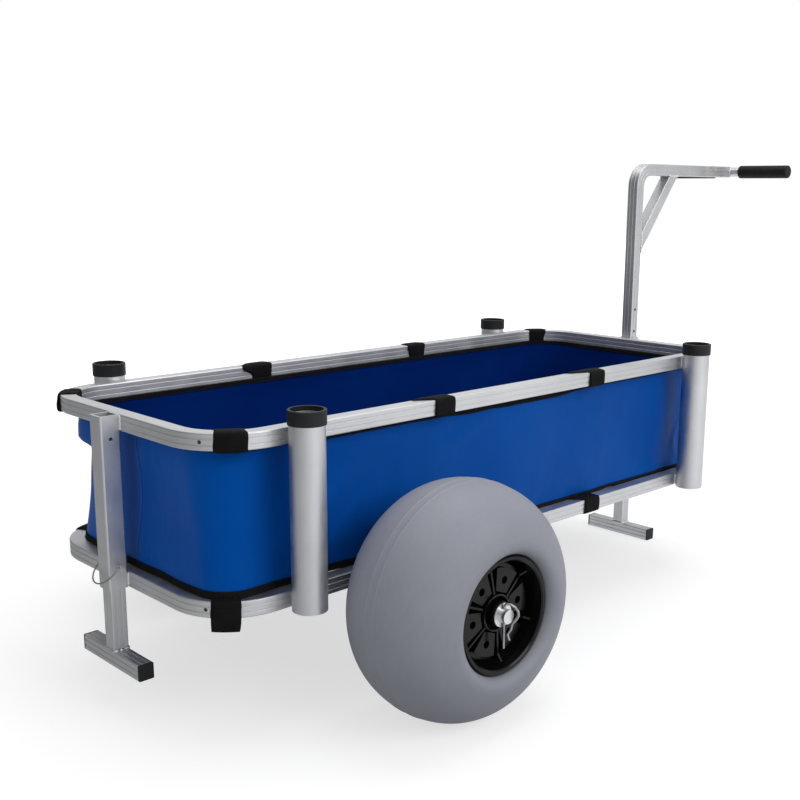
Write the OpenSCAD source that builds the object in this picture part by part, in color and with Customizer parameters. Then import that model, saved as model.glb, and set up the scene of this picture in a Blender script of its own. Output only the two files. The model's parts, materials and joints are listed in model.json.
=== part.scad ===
// Fishing trolley: a basket of two aluminium rings with a hung fabric liner, on two balloon
// wheels and two telescopic drop legs, with four rod holders and a T handle.
// Millimetres. +X points to the handle end, +Y to the far side, +Z up. The ground is z = 0.

/* [Basket] */
// Outside length of the two rings
basket_length = 1120; // [1000:10:1300]
// Outside width of the two rings
basket_width = 440; // [400:5:520]
// From the underside of the bottom ring to the top of the top ring
basket_height = 235; // [220:5:300]
// Outside radius of the ring corners
corner_radius = 90; // [75:5:110]
// Square tube of the rings, legs and handle
tube = 22.2; // [20:0.1:24]
// Wall of the square tube
tube_wall = 1.8; // [1.2:0.1:2.5]
// Rounding of the tube's long edges
tube_edge = 1.6; // [0.8:0.1:2.4]
// Depth of the extruded grooves in the tube
groove_depth = 0.6; // [0.3:0.1:0.9]
// Width of one groove
groove_width = 2.2; // [1.5:0.1:3]
// Distance between the two grooves of a face
groove_pitch = 8; // [6:0.5:10]
// Drain hole in each ring corner
drain_hole = 5; // [3:0.5:7]
// Angle of the drain hole round its corner, from the long axis
drain_angle = 32; // [20:1:45]

/* [Rod holders] */
// Outside diameter of a holder tube
holder_diameter = 46; // [40:0.5:54]
// Wall of a holder tube
holder_wall = 2; // [1.5:0.1:3]
// From the basket's end to a holder's axis
holder_inset = 126; // [112:2:150]
// Thickness of the welded bottom disc
holder_floor = 3; // [2:0.5:5]
// Drain hole in the bottom disc
holder_drain = 8; // [5:1:12]
// Height of the cap ring
cap_height = 18.7; // [14:0.1:26]
// Wall of the cap ring outside the tube
cap_wall = 1.6; // [1.2:0.1:3]
// How far the cap ring's lower edge stands above the top ring
cap_lift = 5.5; // [2:0.5:15]

/* [Leg and handle sockets] */
// Outside size of a square socket
socket_size = 28; // [27:0.1:30]
// Gap between a socket's inside and the tube in it
slide_gap = 0.2; // [0.15:0.05:0.4]
// Lock holes, from the socket's ends
socket_hole_inset = 31; // [25:0.5:40]
// Clearance of a lock pin in its holes
pin_gap = 0.2; // [0.1:0.05:0.4]

/* [Legs] */
// Distance between the leg's lock holes
leg_pitch = 32; // [24:1:36]
// Tube above the leg's top hole
leg_margin = 8; // [6:0.5:10]
// Length of a foot, with its end plugs
foot_length = 148; // [110:2:200]
// Flange of an end plug
plug_flange = 2.5; // [1.5:0.1:4]
// Depth of an end plug in its tube
plug_depth = 14; // [8:1:20]

/* [Handle] */
// From the top ring up to the top of the arm
handle_rise = 337; // [280:1:380]
// From the post's centre to the crossbar's centre
handle_reach = 332.6; // [300:0.1:380]
// Bend radius at the tube's centre line
bend_radius = 33; // [30:1:45]
// Distance between the post's lock holes
handle_pitch = 43; // [36:1:44]
// Post below its lowest lock hole
post_margin = 12; // [9:0.5:12]
// Slope of the brace
brace_angle = 52; // [45:1:60]
// Where the brace's lower edge meets the post, below the arm
brace_drop = 147; // [120:1:170]
// Size of the square brace
brace_size = 22; // [16:0.5:22]
// Diameter of the crossbar
bar_diameter = 19; // [16:0.5:21]
// Length of the crossbar over its grips
bar_length = 283; // [240:1:340]
// Diameter of a grip
grip_diameter = 26; // [24:0.5:32]
// Length of a grip
grip_length = 111; // [90:1:115]
// Closed end of a grip
grip_end = 3; // [2:0.5:6]

/* [Wheels] */
// Outside diameter of the tyre
tyre_diameter = 327; // [300:1:380]
// Width of the tyre
tyre_width = 187; // [176:1:196]
// Roundness of the tyre's section, where 1 is an ellipse and less is squarer
tyre_roundness = 0.92; // [0.7:0.01:1]
// Wall of the tyre
tyre_wall = 6; // [4:0.5:9]
// Gap between a tyre and the basket's side
tyre_clearance = 16.5; // [12:0.5:30]
// From the tyre's front to the front holders' axis
holder_clearance = 18.5; // [14:0.5:40]
// Outside diameter of the rim's lip
rim_diameter = 159; // [140:1:170]
// Width of the rim over its lips
rim_width = 166; // [150:1:168]
// Width of the rounded lip
lip_width = 7.5; // [5:0.5:10]
// Depth from the lip to the spoke pads
pad_depth = 18; // [12:1:24]
// Height of the spoke pads above the dish
pad_height = 14; // [8:1:18]
// Number of spoke pads, and of the ribs between them
spokes = 6; // [5:1:8]
// Hole in each spoke pad
pad_hole = 10.5; // [6:0.5:13]
// Radius of the circle through the pad holes
pad_hole_radius = 43; // [41:0.5:46]
// Thickness of a rib
rib_width = 3; // [2:0.25:5]
// Outside diameter of the hub's ring wall
hub_ring_diameter = 50; // [46:1:54]
// Diameter of the hub's boss
hub_boss_diameter = 34; // [31:0.5:36]

/* [Axle] */
// Diameter of the axle
axle_diameter = 19; // [16:0.5:20]
// Running clearance round the axle
bush_gap = 0.08; // [0.05:0.01:0.1]
// Wall of a hub bush
bush_wall = 3; // [2:0.25:4]
// Length of a hub bush in the rim
bush_length = 30; // [20:1:40]
// Flange of a hub bush
bush_flange = 2.5; // [1.5:0.1:4]
// Outside diameter of the outer washers
washer_diameter = 32; // [28:0.5:38]
// Thickness of a washer
washer_thickness = 2; // [1.5:0.1:3]
// End float of a wheel along the axle
end_float = 0.3; // [0.2:0.05:0.6]
// Axle beyond the clip's hole
axle_tail = 8; // [6:0.5:12]
// Wire of the retaining clips
clip_wire = 3.4; // [3:0.1:3.6]
// Thickness of the axle clamps and their flanges
clamp_thickness = 3; // [2:0.5:4]
// Width of an axle clamp along the axle
clamp_width = 20; // [16:1:21]
// Distance between a clamp's two bolts
clamp_bolt_pitch = 42; // [38:1:50]
// Shank diameter of the clamp bolts
bolt_diameter = 6; // [5:0.5:6]
// Depth of the clamp bolts in the ring
bolt_depth = 15; // [8:1:18]

/* [Lock pins] */
// Diameter of a lock pin
pin_diameter = 4.8; // [4:0.1:5.5]
// Diameter of its head
pin_head = 7.5; // [7:0.1:9]
// Thickness of its head
pin_head_height = 6; // [5:0.5:8]
// How far a pin is pushed in to lock
pin_travel = 5; // [4:0.5:6]
// Wire of the bail on a lock pin
bail_wire = 2; // [1.6:0.1:2.4]
// Radius of the bail
bail_radius = 23; // [23:0.5:26]
// Distance of the bail's centre from the pin
bail_offset = 9; // [8:0.5:10]
// Slope of the bail, outward and down
bail_tilt = 45; // [40:1:50]

/* [Liner and straps] */
// Thickness of the coated fabric
liner_wall = 1.2; // [0.8:0.1:2]
// Gap between the liner and the rings' inner faces
liner_gap = 0.5; // [0.5:0.1:1]
// Outside radius of the liner's corners
liner_corner = 55; // [44:1:62]
// Thickness of the edge binding
binding_wall = 1.2; // [0.8:0.1:1.6]
// Height of the top binding
top_binding = 10; // [8:0.5:16]
// Height of the bottom binding
bottom_binding = 6; // [5:0.5:14]
// Width of a strap
strap_width = 38; // [30:1:45]
// Thickness of a strap
strap_wall = 1.8; // [1.2:0.1:2]
// Gap between a strap and its tube
strap_gap = 0.2; // [0.1:0.05:0.3]
// From an axle clamp to the side strap next to it
strap_clearance = 29; // [5:1:45]
// Tail of a bottom strap below its loop
strap_tail = 16; // [10:1:25]

/* [Hidden] */
$fn = 72;
seat_gap = 0.3;
overcut = 1;
corner_steps = 3;

// Levels
wheel_z = tyre_diameter / 2;
ring_low = wheel_z + axle_diameter / 2 + seat_gap;
ring_top = ring_low + basket_height;
bottom_mid = ring_low + tube / 2;
top_mid = ring_top - tube / 2;
leg_pin_z = ring_low + socket_hole_inset;
handle_pin_z = ring_top - socket_hole_inset;

// Basket, and the axle's distance in front of its middle
side_run = basket_length - 2 * corner_radius;
end_run = basket_width - 2 * corner_radius;
corner_x = side_run / 2;
corner_y = end_run / 2;
rail_y = (basket_width - tube) / 2;
rail_x = (basket_length - tube) / 2;
drain_depth = 9;
holder_x = basket_length / 2 - holder_inset;
axle_offset = holder_x - holder_clearance - tyre_diameter / 2;
bar_places = [-axle_offset, 0, axle_offset];

// Rod holders
holder_y = (basket_width + holder_diameter) / 2;
cap_low = ring_top + cap_lift;
cap_top = cap_low + cap_height;
cap_shoulder = cap_height / 3;
cap_grip_gap = 0.1;
weld_width = 18;
weld_depth = 4;

// Sockets and what slides in them
socket_x = (basket_length + socket_size) / 2;
socket_bore = tube + 2 * slide_gap;
socket_edge = 2.5;
hole_diameter = pin_diameter + 2 * pin_gap;
tube_bore = tube - 2 * tube_wall;
lock_steps = 2;
leg_lift = lock_steps * leg_pitch;
leg_top = leg_pin_z + leg_margin;
post_low = handle_pin_z - post_margin;

// Handle
arm_mid = ring_top + handle_rise - tube / 2;
post_face = socket_x + tube / 2;
arm_face = arm_mid - tube / 2;
bar_x = socket_x + handle_reach;
arm_cope = 7;
grip_round = 3;

// Wheels, along the axle from the wheel's own middle
track = basket_width + 2 * tyre_clearance + tyre_width;
tyre_base = rim_diameter * 0.45;
tyre_inner = rim_diameter / 2 - 4.5;
tyre_steps = 20;
shoulder_angle = 74;
shoulder_bulge = 1;
bead_steps = 5;
barrel_gap = 0.1;
lip_height = 5;
pad_face = rim_width / 2 - pad_depth;
dish_face = pad_face - pad_height;
dish_radius = rim_diameter / 2 - lip_width - 3;
pad_inner = hub_ring_diameter / 2 + 4;
pad_outer = dish_radius - 5;
pad_step = 5;
pad_first = 8;
pad_spread = 360 / spokes;
pad_share = 0.36;
pad_hole_depth = pad_height + 12;
hub_ring_wall = 2.5;
hub_ring_face = pad_face + 3;
hub_recess = 12;
hub_face = rim_width / 2 - 10;
bush_diameter = axle_diameter + 2 * (bush_gap + bush_wall);
bush_rim = bush_diameter + 6;
core_gap = 1;

// Axle, from the basket's middle
washer_y = track / 2 + hub_face + bush_flange + end_float;
clip_y = washer_y + washer_thickness + end_float + clip_wire / 2;
axle_length = 2 * (clip_y + axle_tail);
clip_hole = clip_wire + 0.4;
clamp_seat = axle_diameter / 2 + seat_gap;
clamp_bore = axle_diameter / 2 + 0.1;
clamp_flange = clamp_bolt_pitch + 16;
bolt_gap = 0.2;
bolt_head = 10;
bolt_head_height = 4;
spacer_in = basket_width / 2 + end_float;
spacer_out = track / 2 - hub_face - bush_flange - end_float;
spacer_diameter = 26;

// Retaining clip: its loop and bowed leg beside the straight one, as [sideways, up] from the axle
clip_foot = -44;
clip_bow = [[0, 12.5], [3, 15.5], [8, 15], [14, 11], [18, 5], [18.5, 0], [16, -5], [10.5, -11.5],
    [9, -19], [4.8, -26], [7, -33]];
clip_turn = -45;
knuckle = 1.04;

// Lock pins
head_gap = pin_travel + seat_gap;
pin_head_y = socket_size / 2 + head_gap;
pin_tip_y = tube / 2 + 2 * slide_gap;
bail_y = pin_head_y + pin_head_height / 2;
bail_hole = bail_wire + 0.2;
bail_lift = pin_head / 2 + bail_wire / 2 + 0.4;
bail_mid_y = sqrt(pow(bail_radius, 2) - pow(bail_offset, 2)) - bail_y;
bail_half_angle = acos(-bail_offset / bail_radius);

// Liner and straps
liner_low = ring_low + tube + strap_gap + strap_wall + 0.2;
binding_high = ring_top - tube - strap_gap - strap_wall - 0.2;
liner_high = binding_high - binding_wall;
liner_inset = tube + liner_gap;
strap_inner = tube + 2 * strap_gap;
strap_outer = strap_inner + 2 * strap_wall;
strap_x = axle_offset - clamp_flange / 2 - strap_clearance - strap_width / 2;
strap_corner_angle = strap_width / corner_radius * 180 / PI;
top_corner_strap = 56;
bottom_corner_strap = 48;

// The origin is the middle of the underside of the part's box
front_reach = socket_x + (bail_offset + bail_radius) * cos(bail_tilt) + bail_lift * sin(bail_tilt) + bail_wire / 2;
rear_reach = bar_x + grip_diameter / 2;
origin_x = (rear_reach - front_reach) / 2;

// Which node to show

aluminium = [0.78, 0.79, 0.80];
steel = [0.62, 0.63, 0.65];
black_plastic = [0.10, 0.10, 0.11];
tyre_grey = [0.55, 0.56, 0.60];
liner_blue = [0.06, 0.25, 0.55];
webbing = [0.05, 0.05, 0.06];

// Places

module framed(shade) {
    color(shade)
    translate([-origin_x, 0, 0])
        children();
}

module far_side(is_far) {
    mirror([0, is_far ? 1 : 0, 0])
        children();
}

module rear_end(is_rear) {
    mirror([is_rear ? 0 : 1, 0, 0])
        children();
}

// Sections

function turned(point, angle) = [
    point[0] * cos(angle) - point[1] * sin(angle),
    point[0] * sin(angle) + point[1] * cos(angle)
];

function groove_points(middle, level) = [
    [middle - groove_width / 2, level],
    [middle - groove_width / 2 + groove_depth, level + groove_depth],
    [middle + groove_width / 2 - groove_depth, level + groove_depth],
    [middle + groove_width / 2, level]
];

function edge_points(half, radius) = [
    for (step = [0 : corner_steps])
        let (angle = 90 * step / corner_steps - 90)
        [half - radius + radius * cos(angle), radius - half + radius * sin(angle)]
];

function face_points(size, grooved) = concat(
    grooved ? groove_points(-groove_pitch / 2, -size / 2) : [],
    grooved ? groove_points(groove_pitch / 2, -size / 2) : [],
    edge_points(size / 2, tube_edge)
);

// The square tube's outside, with its grooves on the faces given, from below and round by the right
module tube_section(grooves) {
    polygon([
        for (side = [0 : 3])
            each [for (point = face_points(tube, grooves[side])) turned(point, 90 * side)]
    ]);
}

module rounded_square(size, radius) {
    polygon([
        for (side = [0 : 3])
            each [for (point = edge_points(size / 2, radius)) turned(point, 90 * side)]
    ]);
}

// The liner's outline in plan, grown outward
module liner_plate(grown) {
    radius = liner_corner + grown;
    middle_x = basket_length / 2 - liner_inset - liner_corner;
    middle_y = basket_width / 2 - liner_inset - liner_corner;
    square([2 * (middle_x + radius), 2 * middle_y], center = true);
    square([2 * middle_x, 2 * (middle_y + radius)], center = true);
    for (x = [-middle_x, middle_x], y = [-middle_y, middle_y])
        translate([x, y])
            circle(radius);
}

// Basket

module along_x(length) {
    rotate([90, 0, 90])
        linear_extrude(length, center = true)
            children();
}

module along_y(length) {
    rotate([90, 0, 0])
        linear_extrude(length, center = true)
            children();
}

// Both rings: four straight runs and four bends of the same section
module ring_tube() {
    for (side = [-1, 1]) {
        translate([0, side * rail_y, 0])
            along_x(side_run)
                tube_section([false, true, false, true]);
        translate([side * rail_x, 0, 0])
            along_y(end_run)
                tube_section([false, true, false, true]);
    }
    for (quarter = [0 : 3])
        translate([
            corner_x * (quarter == 0 || quarter == 3 ? 1 : -1),
            corner_y * (quarter < 2 ? 1 : -1),
            0
        ])
            rotate(90 * quarter)
                rotate_extrude(angle = 90)
                    translate([corner_radius - tube / 2, 0])
                        tube_section([false, true, false, true]);
}

module drain_holes() {
    for (x = [-1, 1], y = [-1, 1])
        translate([x * corner_x, y * corner_y, 0])
            rotate(atan2(y * sin(drain_angle), x * cos(drain_angle)))
                translate([corner_radius - drain_depth, 0, 0])
                    rotate([0, 90, 0])
                        cylinder(h = drain_depth + overcut, d = drain_hole);
}

module clamp_bolt_places() {
    for (x = [-1, 1], y = [-1, 1])
        translate([-axle_offset + x * clamp_bolt_pitch / 2, y * rail_y, 0])
            children();
}

module top_ring() {
    framed(aluminium)
    translate([0, 0, top_mid])
        difference() {
            ring_tube();
            drain_holes();
        }
}

module bottom_ring() {
    framed(aluminium)
    difference() {
        translate([0, 0, bottom_mid])
            difference() {
                ring_tube();
                drain_holes();
            }
        clamp_bolt_places()
            translate([0, 0, ring_low - overcut])
                cylinder(h = bolt_depth + 2 * overcut, d = bolt_diameter + bolt_gap);
    }
}

module floor_bar(place) {
    framed(aluminium)
    translate([place, 0, bottom_mid])
        along_y(basket_width - 2 * tube)
            tube_section([false, true, false, true]);
}

module socket(is_rear) {
    height = basket_height;
    framed(aluminium)
    rear_end(is_rear)
    translate([socket_x, 0, ring_low])
        difference() {
            linear_extrude(height)
                difference() {
                    rounded_square(socket_size, socket_edge);
                    square(socket_bore, center = true);
                }
            for (level = [socket_hole_inset, height - socket_hole_inset])
                translate([0, 0, level])
                    rotate([90, 0, 0])
                        cylinder(h = socket_size + overcut, d = hole_diameter, center = true);
        }
}

// The weld between a holder and the two rings fills the wedge beside their line of contact
module holder_welds() {
    for (level = [bottom_mid, top_mid])
        translate([-weld_width / 2, -holder_diameter / 2, level - tube / 2 + tube_edge])
            cube([weld_width, weld_depth, tube - 2 * tube_edge]);
}

module rod_holder(is_rear, is_far) {
    bore = holder_diameter - 2 * holder_wall;
    framed(aluminium)
    rear_end(is_rear)
    far_side(!is_far)
    translate([holder_x, holder_y, 0])
        difference() {
            union() {
                translate([0, 0, ring_low])
                    cylinder(h = cap_top - cap_shoulder - ring_low, d = holder_diameter);
                holder_welds();
            }
            translate([0, 0, ring_low + holder_floor])
                cylinder(h = cap_top, d = bore);
            translate([0, 0, ring_low - overcut])
                cylinder(h = holder_floor + 2 * overcut, d = holder_drain);
        }
}

module holder_cap(is_rear, is_far) {
    bore = holder_diameter - 2 * holder_wall;
    outside = holder_diameter / 2 + cap_wall;
    edge = cap_wall / 2;
    framed(black_plastic)
    rear_end(is_rear)
    far_side(!is_far)
    translate([holder_x, holder_y, cap_low])
        difference() {
            rotate_extrude()
                polygon([
                    [0, 0],
                    [outside, 0],
                    [outside, cap_height - edge],
                    [outside - edge, cap_height],
                    [0, cap_height]
                ]);
            translate([0, 0, -overcut])
                cylinder(h = cap_height + 2 * overcut, d = bore);
            translate([0, 0, -overcut])
                cylinder(h = cap_height - cap_shoulder + overcut, d = holder_diameter + 2 * cap_grip_gap);
        }
}

// Axle

module axle() {
    framed(steel)
    translate([-axle_offset, 0, wheel_z])
        difference() {
            rotate([90, 0, 0])
                cylinder(h = axle_length, d = axle_diameter, center = true);
            for (side = [-1, 1])
                translate([0, side * clip_y, 0])
                    cylinder(h = axle_diameter + overcut, d = clip_hole, center = true);
        }
}

module axle_clamp(is_far) {
    outside = clamp_bore + clamp_thickness;
    framed(steel)
    difference() {
        far_side(is_far)
        translate([-axle_offset, -rail_y, wheel_z])
            along_y(clamp_width)
                difference() {
                    union() {
                        circle(outside);
                        translate([-outside, 0])
                            square([2 * outside, clamp_seat]);
                        translate([-clamp_flange / 2, clamp_seat - clamp_thickness])
                            square([clamp_flange, clamp_thickness]);
                    }
                    circle(clamp_bore);
                    translate([-clamp_bore, 0])
                        square([2 * clamp_bore, clamp_seat + overcut]);
                    translate([-clamp_flange, clamp_seat])
                        square([2 * clamp_flange, outside]);
                }
        clamp_bolt_places()
            translate([0, 0, ring_low - clamp_thickness - overcut])
                cylinder(h = clamp_thickness + 2 * overcut, d = bolt_diameter + bolt_gap);
    }
}

module clamp_bolts() {
    framed(steel)
    clamp_bolt_places()
        translate([0, 0, ring_low - clamp_thickness]) {
            translate([0, 0, -bolt_head_height])
                cylinder(h = bolt_head_height, d = bolt_head / cos(30), $fn = 6);
            cylinder(h = clamp_thickness + bolt_depth, d = bolt_diameter);
        }
}

module sleeve(from, to, outside, bore) {
    translate([-axle_offset, -from, wheel_z])
        rotate([90, 0, 0])
            difference() {
                cylinder(h = to - from, d = outside);
                translate([0, 0, -overcut])
                    cylinder(h = to - from + 2 * overcut, d = bore);
            }
}

module axle_spacer(is_far) {
    framed(black_plastic)
    far_side(is_far)
        sleeve(spacer_in, spacer_out, spacer_diameter, axle_diameter + 2 * bush_gap);
}

module washer(is_far) {
    framed(steel)
    far_side(is_far)
        sleeve(washer_y, washer_y + washer_thickness, washer_diameter, axle_diameter + 2 * bush_gap);
}

module wire_run(points, wire) {
    for (index = [0 : len(points) - 1]) {
        translate(points[index])
            sphere(d = wire * knuckle);
        if (index > 0)
            wire_between(points[index - 1], points[index], wire);
    }
}

module wire_between(start, end, wire) {
    span = end - start;
    length = norm(span);
    translate(start)
        rotate([0, acos(span[2] / length), atan2(span[1], span[0])])
            cylinder(h = length, d = wire);
}

module r_clip(is_far) {
    framed(steel)
    far_side(is_far)
    translate([-axle_offset, -clip_y, wheel_z])
        rotate(clip_turn)
            wire_run(concat(
                [[0, 0, clip_foot]],
                [for (point = clip_bow) [point[0], 0, point[1]]]
            ), clip_wire, $fn = 24);
}

// Wheels, with their own axis along Z and the outer face up

module wheel_place(is_far) {
    far_side(is_far)
    translate([-axle_offset, -track / 2, wheel_z])
        rotate([90, 0, 0])
            children();
}

// A point of the tyre's crown and sidewall, as [radius, along the axle]
function tyre_point(angle, thinner) = [
    tyre_base + (tyre_diameter / 2 - tyre_base - thinner) * pow(cos(angle), tyre_roundness),
    (tyre_width / 2 - shoulder_bulge - thinner) * pow(sin(angle) / sin(shoulder_angle), tyre_roundness)
];

// Half the tyre's section from the crown to the bead
function tyre_half(thinner) = concat(
    [for (step = [0 : tyre_steps]) tyre_point(shoulder_angle * step / tyre_steps, thinner)],
    let (
        shoulder_radius = tyre_point(shoulder_angle, 0)[0] - 4,
        shoulder = tyre_width / 2 - thinner,
        bead_radius = rim_diameter / 2 + 1,
        bead = rim_width / 2 - lip_height - barrel_gap - thinner
    )
    [
        for (step = [0 : bead_steps])
            let (angle = 90 - 90 * step / bead_steps)
            [
                shoulder_radius - (shoulder_radius - bead_radius) * cos(angle) + thinner,
                bead + (shoulder - bead) * sin(angle)
            ]
    ]
);

function tyre_ring(thinner) = let (
    half = tyre_half(thinner),
    inner = tyre_inner + barrel_gap + thinner,
    bead = half[len(half) - 1][1]
) concat(
    half,
    [[inner, bead]],
    [[inner, -bead]],
    [for (index = [len(half) - 1 : -1 : 1]) [half[index][0], -half[index][1]]]
);

module tyre(is_far) {
    framed(tyre_grey)
    wheel_place(is_far)
        rotate_extrude($fn = 120)
            difference() {
                polygon(tyre_ring(0));
                polygon(tyre_ring(tyre_wall));
            }
}

// The rim's revolved body: barrel, rolled lips and the dished faces on both sides
module rim_body() {
    lip = rim_diameter / 2;
    lip_in = lip - lip_width;
    face = rim_width / 2;
    for (side = [0, 1])
        mirror([0, side])
            polygon([
                [0, 0],
                [tyre_inner, 0],
                [tyre_inner, face - lip_height],
                [lip, face - lip_height],
                [lip, face - lip_height / 3],
                [lip - lip_width / 4, face],
                [lip_in + lip_width / 4, face],
                [lip_in, face - lip_height / 3],
                [dish_radius, dish_face + pad_height / 2],
                [dish_radius - 2, dish_face],
                [0, dish_face]
            ]);
}

// One spoke pad: a flat tapered block with a stepped back edge
module spoke_pad() {
    half_angle = pad_share * pad_spread;
    root = dish_face - overcut;
    translate([0, 0, root]) {
        linear_extrude(pad_face - root)
            pad_outline(pad_inner, pad_outer - pad_step, half_angle);
        linear_extrude(pad_face - pad_step - root)
            pad_outline(pad_inner, pad_outer, half_angle);
    }
}

module pad_outline(inner, outer, half_angle) {
    intersection() {
        polygon([
            [inner * cos(half_angle), -inner * sin(half_angle)],
            [outer / cos(half_angle), -outer * tan(half_angle)],
            [outer / cos(half_angle), outer * tan(half_angle)],
            [inner * cos(half_angle), inner * sin(half_angle)]
        ]);
        circle(outer);
    }
}

// A rib runs from the hub's ring wall up to the lip, with its crest falling outward
module rib() {
    inner = hub_ring_diameter / 2 - hub_ring_wall / 2;
    rotate([90, 0, 0])
        linear_extrude(rib_width, center = true)
            polygon([
                [inner, dish_face - overcut],
                [dish_radius + 2, dish_face - overcut],
                [dish_radius + 2, pad_face + 4],
                [dish_radius - 8, pad_face - 2],
                [inner, pad_face + 1]
            ]);
}

module hub() {
    difference() {
        cylinder(h = hub_ring_face, d = hub_ring_diameter);
        translate([0, 0, pad_face - hub_recess])
            cylinder(h = rim_width, d = hub_ring_diameter - 2 * hub_ring_wall);
    }
    cylinder(h = hub_face, d = hub_boss_diameter);
}

module rim_face() {
    for (index = [0 : spokes - 1]) {
        rotate(pad_first + index * pad_spread)
            spoke_pad();
        rotate(pad_first + (index + 0.5) * pad_spread)
            rib();
    }
    hub();
}

module rim_holes() {
    for (index = [0 : spokes - 1])
        rotate(pad_first + index * pad_spread)
            translate([pad_hole_radius, 0, pad_face - pad_hole_depth])
                cylinder(h = rim_width, d = pad_hole);
}

module rim(is_far) {
    framed(black_plastic)
    wheel_place(is_far)
        difference() {
            union() {
                rotate_extrude($fn = 120)
                    rim_body();
                for (side = [0, 1])
                    mirror([0, 0, side])
                        rim_face();
            }
            for (side = [0, 1])
                mirror([0, 0, side])
                    rim_holes();
            cylinder(h = rim_width, d = axle_diameter + 2 * core_gap, center = true);
            for (side = [0, 1])
                mirror([0, 0, side])
                    translate([0, 0, hub_face - bush_length])
                        cylinder(h = rim_width, d = bush_diameter);
        }
}

module bush(is_far, is_inner) {
    framed(black_plastic)
    wheel_place(is_far)
        mirror([0, 0, is_inner ? 1 : 0])
            difference() {
                union() {
                    translate([0, 0, hub_face - bush_length])
                        cylinder(h = bush_length, d = bush_diameter);
                    translate([0, 0, hub_face])
                        cylinder(h = bush_flange, d = bush_rim);
                }
                cylinder(h = rim_width, d = axle_diameter + 2 * bush_gap);
            }
}

// Legs

module lock_holes(first, pitch) {
    for (step = [0 : lock_steps])
        translate([0, 0, first + step * pitch])
            rotate([90, 0, 0])
                cylinder(h = tube + overcut, d = hole_diameter, center = true);
}

module leg_place(is_rear) {
    rear_end(is_rear)
    translate([socket_x, 0, is_rear ? 0 : leg_lift])
        children();
}

module leg_tube(is_rear) {
    framed(aluminium)
    leg_place(is_rear)
        difference() {
            translate([0, 0, tube])
                linear_extrude(leg_top - tube)
                    tube_section([true, true, true, true]);
            translate([-tube_bore / 2, -tube_bore / 2, tube])
                cube([tube_bore, tube_bore, leg_top]);
            lock_holes(leg_pin_z - lock_steps * leg_pitch, leg_pitch);
        }
}

module foot_bar(is_rear) {
    length = foot_length - 2 * plug_flange;
    framed(aluminium)
    leg_place(is_rear)
    translate([0, 0, tube / 2])
        difference() {
            along_y(length)
                tube_section([false, true, true, true]);
            along_y(length + overcut)
                square(tube_bore, center = true);
        }
}

module foot_plugs(is_rear) {
    framed(black_plastic)
    leg_place(is_rear)
        for (side = [0, 1])
            mirror([0, side, 0])
                translate([0, foot_length / 2, tube / 2])
                    rotate([90, 0, 0]) {
                        linear_extrude(plug_flange)
                            rounded_square(tube, tube_edge);
                        linear_extrude(plug_flange + plug_depth)
                            square(tube_bore, center = true);
                    }
}

// Handle

module handle_post() {
    bend_z = arm_mid - bend_radius;
    bend_x = socket_x + bend_radius;
    framed(aluminium)
    difference() {
        union() {
            translate([socket_x, 0, post_low])
                linear_extrude(bend_z - post_low)
                    tube_section([true, true, true, true]);
            translate([bend_x, 0, bend_z])
                rotate([90, 0, 180])
                    rotate_extrude(angle = 90)
                        translate([bend_radius, 0])
                            tube_section([true, true, true, true]);
            translate([(bend_x + bar_x - arm_cope) / 2, 0, arm_mid])
                along_x(bar_x - arm_cope - bend_x)
                    tube_section([true, true, true, true]);
        }
        translate([socket_x, 0, 0])
            lock_holes(handle_pin_z, handle_pitch);
        translate([socket_x - tube_bore / 2, -tube_bore / 2, post_low - overcut])
            cube([tube_bore, tube_bore, bend_z - post_low]);
        translate([bar_x, 0, arm_mid])
            rotate([90, 0, 0])
                cylinder(h = 2 * tube, d = bar_diameter, center = true);
    }
}

module handle_brace() {
    length = 2 * brace_drop;
    framed(aluminium)
    intersection() {
        translate([post_face, 0, arm_face - brace_drop])
            rotate([0, -brace_angle, 0])
                translate([0, 0, brace_size / 2])
                    along_x(2 * length)
                        rounded_square(brace_size, tube_edge);
        translate([post_face, -tube, arm_face - 2 * length])
            cube([2 * length, 2 * tube, 2 * length]);
    }
}

module handle_bar() {
    framed(aluminium)
    translate([bar_x, 0, arm_mid])
        rotate([90, 0, 0])
            cylinder(h = bar_length - 2 * grip_end, d = bar_diameter, center = true);
}

module grip(is_far) {
    outside = grip_diameter / 2;
    inside = bar_diameter / 2;
    framed(black_plastic)
    far_side(is_far)
    translate([bar_x, -bar_length / 2, arm_mid])
        rotate([-90, 0, 0])
            rotate_extrude()
                polygon([
                    [0, 0],
                    [outside - grip_round, 0],
                    for (angle = [-60 : 30 : 0])
                        [outside - grip_round + grip_round * cos(angle), grip_round + grip_round * sin(angle)],
                    [outside, grip_length - grip_round / 2],
                    [outside - grip_round / 2, grip_length],
                    [inside, grip_length],
                    [inside, grip_end],
                    [0, grip_end]
                ]);
}

// Lock pins, drawn back by their travel: pushed home, the tip enters the tube's hole

module pin_place(is_rear, level) {
    rear_end(is_rear)
    translate([socket_x, 0, level])
        children();
}

module lock_pin(is_rear, level) {
    framed(steel)
    pin_place(is_rear, level)
        difference() {
            rotate([90, 0, 0]) {
                translate([0, 0, pin_tip_y])
                    cylinder(h = pin_head_y - pin_tip_y + overcut, d = pin_diameter);
                translate([0, 0, pin_head_y])
                    cylinder(h = pin_head_height, d = pin_head);
            }
            translate([0, -bail_y, 0])
                rotate([0, bail_tilt, 0])
                    cylinder(h = 2 * pin_head, d = bail_hole, center = true);
        }
}

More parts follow.
